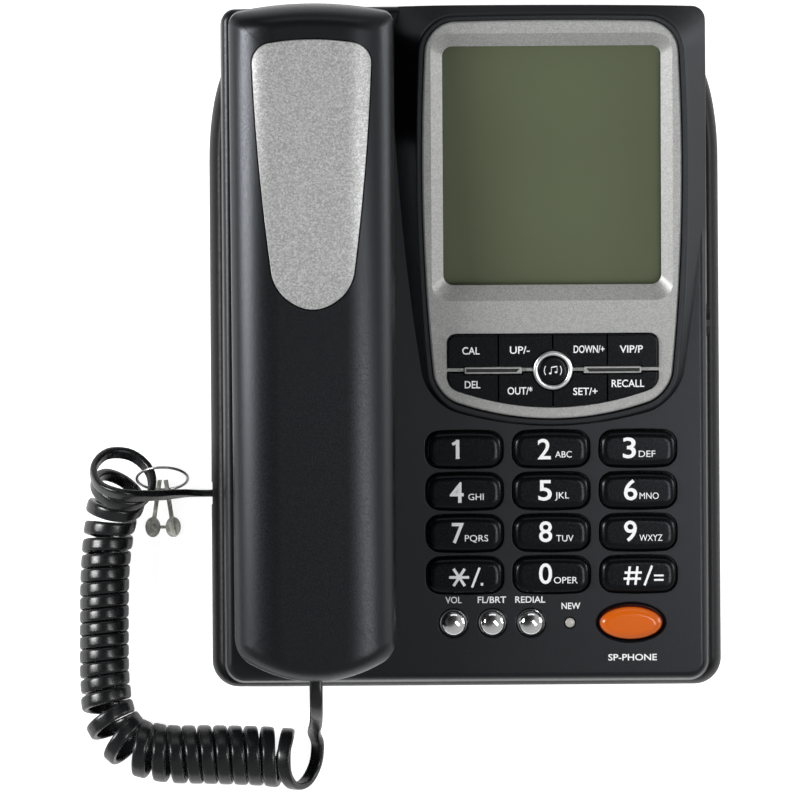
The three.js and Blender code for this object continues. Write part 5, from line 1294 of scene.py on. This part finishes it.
class TELEPHONE_OT_display(TelephoneOperator, bpy.types.Operator):
    """Silver frame with its sloping inner frame, the clear window and the blank panel"""

    bl_idname = "telephone.display"
    bl_label = "Display"

    def build(self):
        plate = [(0, PLATE_LOW), (0, -1.1), (0.12, -0.75), (0.4, -0.55), (0.7, -0.5)]
        collar = [(-1.6, -4.4), (-2.8, -1.9)]
        whole = joined(loft(BEZEL, plate, POD_FRAME), loft(outline_of(**WINDOW, steps=(8, 8, 12)), collar, POD_FRAME))
        whole = carved(whole, stacked(funnel_rings(), POD_FRAME))
        whole = carved(whole, loft(FEATURE, [(0, -6), (0, CUT_HIGH)], POD_FRAME))
        whole = joined(whole, self.web())
        shade_strips = []
        for side in (1, -1):
            middle = side * FEATURE_BAR_X
            low = (middle - FEATURE_BAR_HALF, FEATURE_ROW_Y - 1.1, -1.2)
            high = (middle + FEATURE_BAR_HALF, FEATURE_ROW_Y + 1.1, 0.4)
            whole = joined(whole, block(low, high, POD_FRAME, 0.35, 3))
            near, far = side * 10.4, side * 27.1
            groove = [(near, 0.55), (near + side * 0.9, -0.55), (far, -0.55), (far, 0.55)][:: -side]

            def trough(*heights):
                return stacked([[(x, FEATURE_ROW_Y + y, z) for x, y in groove] for z in heights], POD_FRAME)

            whole = carved(whole, trough(-0.3, 1))
            # A thin near-black strip in the bottom of each groove: painted shade in the groove
            shade_strips.append(coloured(trough(-0.5, -0.05), 1))
        whole = gathered([coloured(whole, 0), *shade_strips])
        finishes = ["bezel_silver", "groove_painted_shade"]
        piece("display_frame", whole, finishes, "base", ["display_bezel"], smooth=28)
        retextured("display_window", "display_clear")
        retextured("display_panel", "display_grey")
        ring = [(4.75, -0.6), (4.75, 0.9), (4.85, 1.08), (5.1, 1.18), (5.6, 1.2), (5.95, 1.06), (6.18, 0.75)]
        ring += [(RING_SEAT_RADIUS, 0.4), (RING_SEAT_RADIUS, -0.6)]
        made = ring_of(ring, at(POD_FRAME, 0, FEATURE_ROW_Y), 96)
        piece("button_ring", made, ["satin_chrome"], "base", ["melody_ring"], smooth=40)

    @staticmethod
    def web():
        """The thin web between the rows of feature keys, with the seat of the button's ring in its middle."""
        web = block((-36, FEATURE_ROW_Y - 0.5, PLATE_LOW), (36, FEATURE_ROW_Y + 0.5, WEB_HIGH), POD_FRAME)
        web = carved(web, loft(FEATURE, [(-0.5, -6), (-0.5, CUT_HIGH)], POD_FRAME), "INTERSECT")
        seat = [(0, PLATE_LOW), (RING_SEAT_RADIUS, PLATE_LOW), (RING_SEAT_RADIUS, WEB_HIGH), (0, WEB_HIGH)]
        web = joined(web, rod(0, FEATURE_ROW_Y, seat, POD_FRAME, 48))
        hole = [(0, -6), (4.85, -6), (4.85, CUT_HIGH), (0, CUT_HIGH)]
        return carved(web, rod(0, FEATURE_ROW_Y, hole, POD_FRAME, 48))


# Keys


def flanged_foot(inset):
    """Levels of a key's foot, that inset from its outline, and of the flange over it."""
    foot = [(inset, KEY_FOOT), (inset, FLANGE_LOW)]
    return foot + [(-FLANGE_REACH, FLANGE_LOW), (-FLANGE_REACH, FLANGE_HIGH), (0, FLANGE_HIGH)]


def number_key(i):
    """One number key without its print."""
    levels = [*flanged_foot(2.6), (0, 0.4), *roll(0, 0.75, 2.3, KEY_TOP, 10)]
    return loft(NUMBER, levels, at(FACE_FRAME, *number_place(i)))


def printed_piece(name, cap, prints, body, node_name):
    """A black key with its white print, as one piece."""
    parts = [coloured(cap, 0), *[coloured(part, 1) for part in prints]]
    piece(name, gathered(parts), ["key_black", "print_white"], body, [node_name], smooth=30)


KEY_TOP = 2.3
# The print stands a hair over the keys
PRINT_LIFT = 0.01


# Print on the number keys: digit, its place from the key's centre, its width, letters, their place and width
KEY_PRINT = {
    "1": ("1", -2.4, 0.3, 0, "", 0, 0),
    "2": ("2", -2.1, 0.2, 4.1, "ABC", 3.9, 5.2),
    "3": ("3", -2.6, 0.4, 4.1, "DEF", 2.9, 5.2),
    "4": ("4", -2.4, -0.1, 4.3, "GHI", 3.6, 4.8),
    "5": ("5", -1.9, 0.4, 4.2, "JKL", 3.4, 4.4),
    "6": ("6", -2.3, 0.4, 4.2, "MNO", 3.5, 6.0),
    "7": ("7", -2.1, 0.3, 3.8, "PQRS", 3.7, 7.3),
    "8": ("8", -1.8, 0.6, 4.1, "TUV", 4.2, 5.4),
    "9": ("9", -2.4, 0.6, 4.0, "WXYZ", 4.0, 7.2),
    "star": ("*", -1.8, -0.4, 0, "", 0, 0),
    "0": ("0", -1.9, 0.6, 4.1, "OPER", 4.4, 7.4),
    "hash": ("#", -1.8, -0.2, 0, "", 0, 0),
}
DIGIT_SIZE = 9.1
LETTER_SIZE = 2.9
# Smaller signs beside the last row's outer two: sign and place
SECOND_SIGNS = {"star": [("/", 3.4, -0.5), (".", 5.3, 0)], "hash": [("/", 3.1, -0.2), ("=", 6.4, -0.3)]}


class TELEPHONE_OT_number_keys(TelephoneOperator, bpy.types.Operator):
    """Twelve number keys with digits and letters"""

    bl_idname = "telephone.number_keys"
    bl_label = "Number keys"

    def build(self):
        for i, name in enumerate(NUMBER_KEYS):
            x, y = number_place(i)
            digit, dx, dy, digit_wide, letters, lx, letters_wide = KEY_PRINT[name]
            prints = []
            for sign, sx, sy in [(digit, dx, dy), *SECOND_SIGNS.get(name, [])]:
                if sign in STROKE_SIGNS:
                    prints += strokes(STROKE_SIGNS[sign], x + sx, y + sy, KEY_TOP, FACE_FRAME)
                else:
                    place = (x + sx, y + sy, KEY_TOP + PRINT_LIFT)
                    prints.append(lettering(sign, DIGIT_SIZE, *place, FACE_FRAME, 0.1, digit_wide))
            if letters:
                place = (x + lx, y - 1.5, KEY_TOP + PRINT_LIFT)
                prints.append(lettering(letters, LETTER_SIZE, *place, FACE_FRAME, 0.0, letters_wide))
            printed_piece(f"number_key_{name}_cap", number_key(i), prints, f"number_key_{name}", f"key_{name}")


FEATURE_NAMES = ["cal", "up", "down", "vip", "delete", "out", "set", "recall"]
# Print on the feature keys, its place in the display's plane and its width
FEATURE_PRINT = {
    "cal": ("CAL", -25.55, -44.75, 5.4),
    "up": ("UP/-", -10.3, -44.6, 6.2),
    "down": ("DOWN/+", 11.3, -44.45, 9.6),
    "vip": ("VIP/P", 24.5, -44.5, 7.2),
    "delete": ("DEL", -25.1, -55.5, 4.9),
    "out": ("OUT/*", -10.3, -57.5, 7.8),
    "set": ("SET/+", 10.1, -57.85, 7.6),
    "recall": ("RECALL", 23.4, -55.4, 10.2),
}


class TELEPHONE_OT_feature_keys(TelephoneOperator, bpy.types.Operator):
    """Eight feature keys split from one outline round the melody button"""

    bl_idname = "telephone.feature_keys"
    bl_label = "Feature keys"

    def build(self):
        edges = [-36.1, -17, 0, 17, 36.1]
        for i, name in enumerate(FEATURE_NAMES):
            column, rear = i % 4, i < 4
            low_y, high_y = (FEATURE_ROW_Y + 0.85, -36.5) if rear else (-66.5, FEATURE_ROW_Y - 0.85)
            cell = block((edges[column] + 0.25, low_y, -8), (edges[column + 1] - 0.25, high_y, 5), POD_FRAME)
            cap = loft(FEATURE, [(0.35, -5.1), (0.35, 0.1), *roll(0.35, 0.1, 0.85, 0.6, 4)], POD_FRAME)
            cap = carved(cap, cell, "INTERSECT")
            cap = carved(cap, rod(0, FEATURE_ROW_Y, [(0, -8), (6.6, -8), (6.6, 5), (0, 5)], POD_FRAME, 64))
            middle = FEATURE_BAR_X * (-1 if column < 2 else 1)
            half = FEATURE_BAR_HALF + 0.35
            low, high = (middle - half, FEATURE_ROW_Y - 1.45, -2.6), (middle + half, FEATURE_ROW_Y + 1.45, 5)
            cap = carved(cap, block(low, high, POD_FRAME))
            text, x, y, wide = FEATURE_PRINT[name]
            prints = [lettering(text, 3.3, x, y, 0.61, POD_FRAME, 0.04, wide)]
            printed_piece(f"feature_key_{name}_cap", cap, prints, f"feature_key_{name}", f"{name}_key")
        profile = [(0, -5.1), (3.2, -5.1), (3.2, -3.6), (5.2, -3.6), (5.2, -2.6), (4.5, -2.6), (4.5, 0.4)]
        profile += [(4.5 - inset, height) for inset, height in roll(0, 0.5, 1.0, 0.9, 6)[1:]] + [(0, MELODY_TOP)]
        cap = rod(0, FEATURE_ROW_Y, profile, POD_FRAME, 64)
        printed_piece("melody_button_cap", cap, note_sign(), "melody", "melody_button")


MELODY_TOP = 0.93


def note_sign():
    """A plain pair of joined notes between two small arcs."""
    sign = at(POD_FRAME, 0, FEATURE_ROW_Y, MELODY_TOP)
    thick = 0.06
    marks = []
    for x, y in ((-0.85, -0.9), (0.95, -0.55)):
        marks.append(loft(oval_of(0.42, 0.3, 20), [(0, 0), (0, thick)], at(sign, x, y)))
        marks.append(block((x + 0.28, y, 0), (x + 0.42, y + 1.9, thick), sign))
    beam = [(-0.57, 0.78), (1.37, 1.13), (1.37, 1.5), (-0.57, 1.15)]
    marks.append(stacked([[(x, y, z) for x, y in beam] for z in (0, thick)], sign))
    for side in (1, -1):
        inner, outer = 2.55, 2.8
        arc = [math.radians(-32 + 8 * k) for k in range(9)]
        rim = [(side * outer * math.cos(a), outer * math.sin(a)) for a in arc]
        rim += [(side * inner * math.cos(a), inner * math.sin(a)) for a in reversed(arc)]
        marks.append(stacked([[(x, y, z) for x, y in rim] for z in (0, thick)], sign))
    return marks


DOME_RADIUS = 3.9
DOME_TOP = 2.6
LENS_RADIUS = 1.5
LENS_TOP = 0.5
# Height on the oval key under which its sides take the dark red of painted shade
SPEAKER_SHADE_TOP = 1.5
# Print on the face, its place in the face's plane and its width
FACE_PRINT = [
    ("VOL", -4.1, -80.0, 5.1),
    ("FL/BRT", 7.9, -80.0, 8.9),
    ("REDIAL", 19.9, -80.0, 9.4),
    ("NEW", 32.6, -82.1, 5.9),
    ("SP-PHONE", 51.8, -98.4, 15.2),
]


class TELEPHONE_OT_lower_buttons(TelephoneOperator, bpy.types.Operator):
    """Three domed buttons, the status lens, the oval speaker button and the print round them"""

    bl_idname = "telephone.lower_buttons"
    bl_label = "Lower buttons"

    def build(self):
        for (name, x), body in zip(DOMED.items(), ("volume", "flash", "redial")):
            profile = [(0, KEY_FOOT), *[(DOME_RADIUS - inset, height) for inset, height in flanged_foot(1.3)]]
            profile += [(DOME_RADIUS - inset, height) for inset, height in roll(0, 0.3, DOME_RADIUS, DOME_TOP, 14)]
            profile[-1] = (0, DOME_TOP)
            dome = rod(x, LOWER_ROW_Y, profile, FACE_FRAME, 64)
            piece(f"{body}_dome", dome, ["chrome"], body, [name], smooth=40)
        profile = [(0, -6), (LENS_RADIUS, -6), (LENS_RADIUS, -0.1)]
        profile += [(LENS_RADIUS - inset, height) for inset, height in roll(0, 0, LENS_RADIUS, LENS_TOP, 6)[1:]]
        profile[-1] = (0, LENS_TOP)
        lens = rod(LENS_X, LOWER_ROW_Y, profile, FACE_FRAME, 32)
        piece("status_light", lens, ["lens_pale"], "base", ["status_lens"], smooth=40)
        place = at(FACE_FRAME, SPEAKER_X, LOWER_ROW_Y)
        outline = oval_of(*SPEAKER_KEY_HALVES, 96)
        levels = [*flanged_foot(1.3), *roll(0, 0.3, 3.0, 2.8, 14)]
        key = loft(outline, levels, place)
        # Faces low on the oval key's sides take the dark red: painted shade
        inverse = place.inverted()
        for face in key.faces:
            face.material_index = 1 if (inverse @ face.calc_center_median()).z < SPEAKER_SHADE_TOP else 0
        piece("speaker_key", key, ["speaker_orange", "speaker_side_shade"], "speaker", ["speaker_button"], smooth=40)
        prints = [lettering(text, 2.85, x, y, 0.03, FACE_FRAME, 0.04, wide) for text, x, y, wide in FACE_PRINT]
        piece("face_print", gathered(prints), ["print_white"], "base", smooth=0)


# Handset


# The crown: its upright lip, the rise over it, and the reach of its rolls
CROWN_LIP = 3.5
CROWN_RISE = 8.5
CROWN_SIDE_ROLL = 15
CROWN_END_ROLL = 6
HANDSET_WALL = 2
JACK_HEIGHT = -1.5


def roll_share(inset, reach):
    """How far a quarter-round roll has risen at an inset."""
    rest = 1 - min(max(inset / reach, 0), 1)
    return math.sqrt(1 - rest * rest)


def crown_height(x, y, wall=0):
    """Height of the handset's crown: a broad roll across its width and a short one at its ends."""
    rear_edge = HANDSET_HALF_LENGTH - HANDSET_REAR_BULGE * (x / HANDSET_HALF_REAR) ** 2
    front_edge = -HANDSET_HALF_LENGTH + HANDSET_FRONT_BULGE * (x / HANDSET_HALF_FRONT) ** 2
    share = (y + HANDSET_HALF_LENGTH) / (2 * HANDSET_HALF_LENGTH)
    half = HANDSET_HALF_FRONT + (HANDSET_HALF_REAR - HANDSET_HALF_FRONT) * share
    side = roll_share(half - abs(x) - wall, CROWN_SIDE_ROLL)
    end = roll_share(min(rear_edge - y, y - front_edge) - wall, CROWN_END_ROLL)
    return CROWN_LIP + CROWN_RISE * side * end


def over_crown(rise):
    """A surface over or under the crown."""
    return lambda x, y: crown_height(x, y) + rise


def inlay_levels(reach, depth, rise, edge=0.0, steps=16):
    """Levels of a shape that follows the crown on both its sides."""
    insets = [11 * i / steps for i in range(steps + 1)]
    lower = [(inset - reach, over_crown(-depth)) for inset in reversed(insets)]
    upper = [(inset - reach + (edge if not k else 0), over_crown(rise)) for k, inset in enumerate(insets)]
    middle = [(-reach, over_crown(rise - edge))] if edge else []
    return lower + middle + upper


class TELEPHONE_OT_handset(TelephoneOperator, bpy.types.Operator):
    """Handset: crowned back with its inlay, front with the ear and mouth cups"""

    bl_idname = "telephone.handset"
    bl_label = "Handset"

    def build(self):
        inlay = outline_of(**INLAY_SHAPE, steps=(20, 16, 12))
        back = self.back(inlay)
        jack = block(
            (-4.1, -109, JACK_HEIGHT - 3.5), (4.1, 6.7 - HANDSET_HALF_LENGTH, JACK_HEIGHT + 3.5), HANDSET_FRAME
        )
        back = carved(back, jack.copy())
        piece("handset_back_shell", back, ["handset_black"], "handset", ["handset_back"], smooth=32)
        made = loft(inlay, inlay_levels(0, 1.2, 0.15, 0.18), HANDSET_FRAME)
        piece("glitter_inlay", made, ["inlay_glitter"], "handset", ["handset_inlay"], smooth=32)
        front = carved(self.front(), jack)
        piece("handset_front_shell", front, ["handset_black"], "handset", ["handset_front"], smooth=32)

    @staticmethod
    def back(inlay):
        """Crowned shell with the sunk seat of the inlay."""
        steps = 28
        insets = [CROWN_SIDE_ROLL * (1 - math.cos(math.pi / 2 * k / steps)) for k in range(steps + 1)]
        outside = loft(HANDSET, [(0, 0.15), *[(inset, crown_height) for inset in insets]], HANDSET_FRAME)

        def ceiling(x, y):
            return crown_height(x, y, HANDSET_WALL) - HANDSET_WALL

        hollow = [(HANDSET_WALL, -5), *[(inset + HANDSET_WALL, ceiling) for inset in insets[::3]]]
        back = carved(outside, loft(HANDSET, hollow, HANDSET_FRAME))
        back = joined(back, loft(inlay, inlay_levels(4, 3.6, -1, steps=8), HANDSET_FRAME))
        return carved(back, loft(inlay, inlay_levels(0.4, 1.6, 3), HANDSET_FRAME))

    @staticmethod
    def front():
        """Lower shell with both cups, hollow, with the holes of the earpiece and the microphone."""
        grip = [(4, -5), (2.6, -4.7), (1.2, -3.7), (0.35, -2.4), (0, -1), (0, -0.15)]
        cup = [(8.8, -22), (8.0, -21.8), (7.4, -21.2), (CUP_FOOT_INSET, -20.4), (CUP_TOP_INSET, -11.5)]
        cup += [(5.2, -9.4), (2.6, -6.5), (1.2, -0.15)]
        inner = [(10.8, -20), (9.2, -18.4), (8.2, -11.5), (4.6, -6.5), (3.2, CUT_HIGH)]
        front = loft(HANDSET, grip, HANDSET_FRAME)
        for outline in (EAR, MOUTH):
            front = joined(front, loft(outline, cup, HANDSET_FRAME))
        front = carved(front, loft(HANDSET, [(6, -3), (HANDSET_WALL, -0.15), (HANDSET_WALL, CUT_HIGH)], HANDSET_FRAME))
        for outline in (EAR, MOUTH):
            front = carved(front, loft(outline, inner, HANDSET_FRAME))
        ear_y, ring, mouth_y = 79.45, 7, -72
        holes = [(0, ear_y)]
        holes += [(ring * math.cos(math.pi * i / 3), ear_y + ring * math.sin(math.pi * i / 3)) for i in range(6)]
        holes += [((i - 1) * 4, mouth_y) for i in range(3)]
        drill = [(0, -25), (1.1, -25), (1.1, -17), (0, -17)]
        return carved(front, gathered([rod(x, y, drill, HANDSET_FRAME, 20) for x, y in holes]))


# Ring with two small keys


RING_RADIUS = 8
WIRE_RADIUS = 0.45
RING_LEAN = math.radians(64)
RING_PLACE = (-95.25, -41, 9.09)
# The keys lie on the floor, with the lowest stretch of the ring through their eye
KEYS_PLACE = (-95.25, -44.51)
EYE_HEIGHT = 1.9
EYE_RADIUS = 1.15
KEY_SPREAD = 3.2
PADDLE_Y = -11.8
KEY_EYE_Y = 3.1


def key_stem_x(side, y):
    """Middle of a key's stem, which leans out towards its paddle."""
    return side * (0.95 + (KEY_SPREAD - 0.95) / (KEY_EYE_Y - PADDLE_Y) * (KEY_EYE_Y - y))


def key_strip(side, from_y, to_y, half, low, high, matrix):
    """A stretch of a key's stem with its upper edges trimmed."""
    start, end = key_stem_x(side, from_y), key_stem_x(side, to_y)

    def corners(reach):
        return [(start + reach, from_y), (start - reach, from_y), (end - reach, to_y), (end + reach, to_y)]

    levels = [(half, low), (half, high - 0.3), (half * 0.6, high)]
    return stacked([[(x, y, z) for x, y in corners(reach)] for reach, z in levels], matrix)


class TELEPHONE_OT_key_ring(TelephoneOperator, bpy.types.Operator):
    """Wire ring round the last curl with two small moulded keys on it"""

    bl_idname = "telephone.key_ring"
    bl_label = "Ring and keys"

    def build(self):
        middle = at(FLOOR_FRAME, *RING_PLACE) @ Matrix.Rotation(RING_LEAN, 4, "X")
        around = [2 * math.pi * k / 12 for k in range(12)]
        wire = [(RING_RADIUS + WIRE_RADIUS * math.cos(turn), WIRE_RADIUS * math.sin(turn)) for turn in around]
        piece("wire_ring", ring_of(wire, middle, 96), ["steel"], "base", ["key_ring"], smooth=60)
        eye = at(FLOOR_FRAME, *KEYS_PLACE)
        whole = block((-KEY_SPREAD, PADDLE_Y - 0.5, 0.4), (KEY_SPREAD, PADDLE_Y + 0.5, 1.4), eye, 0.15)
        paddle = [(0.3, 0.3), (0, 0.55), (0, 1.5), (0.15, 1.78), (0.45, 1.9)]
        for side in (1, -1):
            whole = joined(whole, key_strip(side, KEY_EYE_Y, PADDLE_Y - 2.3, 0.7, 0.35, 2.4, eye))
            whole = joined(whole, key_strip(side, KEY_EYE_Y - 0.1, -3.3, 0.62, 0.8, 3.6, eye))
            whole = joined(whole, loft(oval_of(2.4, 3.2, 40), paddle, at(eye, side * KEY_SPREAD, PADDLE_Y)))
        across = at(eye, 0, 0, EYE_HEIGHT) @ Matrix.Rotation(math.pi / 2, 4, "Y")
        whole = carved(whole, turned([(0, -4), (EYE_RADIUS, -4), (EYE_RADIUS, 4), (0, 4)], across, 24))
        piece("small_keys", whole, ["key_grey"], "base", ["key_pair"], smooth=30)


# Pieces inside


class TELEPHONE_OT_inner_pieces(TelephoneOperator, bpy.types.Operator):
    """Boards, mats, loudspeaker, sockets, plugs, lock and hook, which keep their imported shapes"""

    bl_idname = "telephone.inner_pieces"
    bl_label = "Pieces inside"

    def build(self):
        finishes = {
            "main_board": "board_green",
            "display_board": "board_green",
            "keypad_mat": "silicone",
            "feature_mat": "silicone",
            "loudspeaker": "speaker_cone",
            "earpiece": "steel",
            "microphone": "steel",
            "handset_weight": "steel",
            "line_jack": "plug_dark",
            "cord_socket": "plug_dark",
            "handset_jack": "plug_dark",
            "base_plug": "plug_dark",
            "handset_plug": "plug_dark",
            "hook_plunger": "base_black",
            "lock_barrel": "plug_dark",
        }
        bevels = {"base_plug": 0.35, "handset_plug": 0.35, "hook_plunger": 0.3, "lock_barrel": 0.15}
        for name, finish in finishes.items():
            retextured(name, finish, bevels.get(name, 0))


OPERATORS = [
    TELEPHONE_OT_stage,
    TELEPHONE_OT_cord,
    TELEPHONE_OT_top_case,
    TELEPHONE_OT_bottom_case,
    TELEPHONE_OT_underside,
    TELEPHONE_OT_display,
    TELEPHONE_OT_number_keys,
    TELEPHONE_OT_feature_keys,
    TELEPHONE_OT_lower_buttons,
    TELEPHONE_OT_handset,
    TELEPHONE_OT_key_ring,
    TELEPHONE_OT_inner_pieces,
]


class TELEPHONE_PT_panel(bpy.types.Panel):
    """Sizes, colours and pieces of the telephone"""

    bl_idname = "TELEPHONE_PT_panel"
    bl_label = "Corded telephone"
    bl_space_type = "VIEW_3D"
    bl_region_type = "UI"
    bl_category = "Telephone"

    def draw(self, context):
        layout = self.layout
        for group in (context.scene.telephone_sizes, context.scene.telephone_colours):
            box = layout.box()
            for name in group.bl_rna.properties.keys():
                if name not in ("rna_type", "name"):
                    box.prop(group, name)
        for operator in OPERATORS:
            layout.operator(operator.bl_idname)


CLASSES = [TelephoneSizes, TelephoneColours, *OPERATORS, TELEPHONE_PT_panel]


def register():
    for cls in CLASSES:
        bpy.utils.register_class(cls)
    bpy.types.Scene.telephone_sizes = PointerProperty(type=TelephoneSizes)
    bpy.types.Scene.telephone_colours = PointerProperty(type=TelephoneColours)


def unregister():
    del bpy.types.Scene.telephone_colours
    del bpy.types.Scene.telephone_sizes
    for cls in reversed(CLASSES):
        bpy.utils.unregister_class(cls)


def main():
    """Build every piece and the stage."""
    register()
    for operator in OPERATORS:
        group, name = operator.bl_idname.split(".")
        if getattr(getattr(bpy.ops, group), name)() != {"FINISHED"}:
            raise RuntimeError(f"{operator.bl_label} wasn't built")


if __name__ == "__main__":
    main()
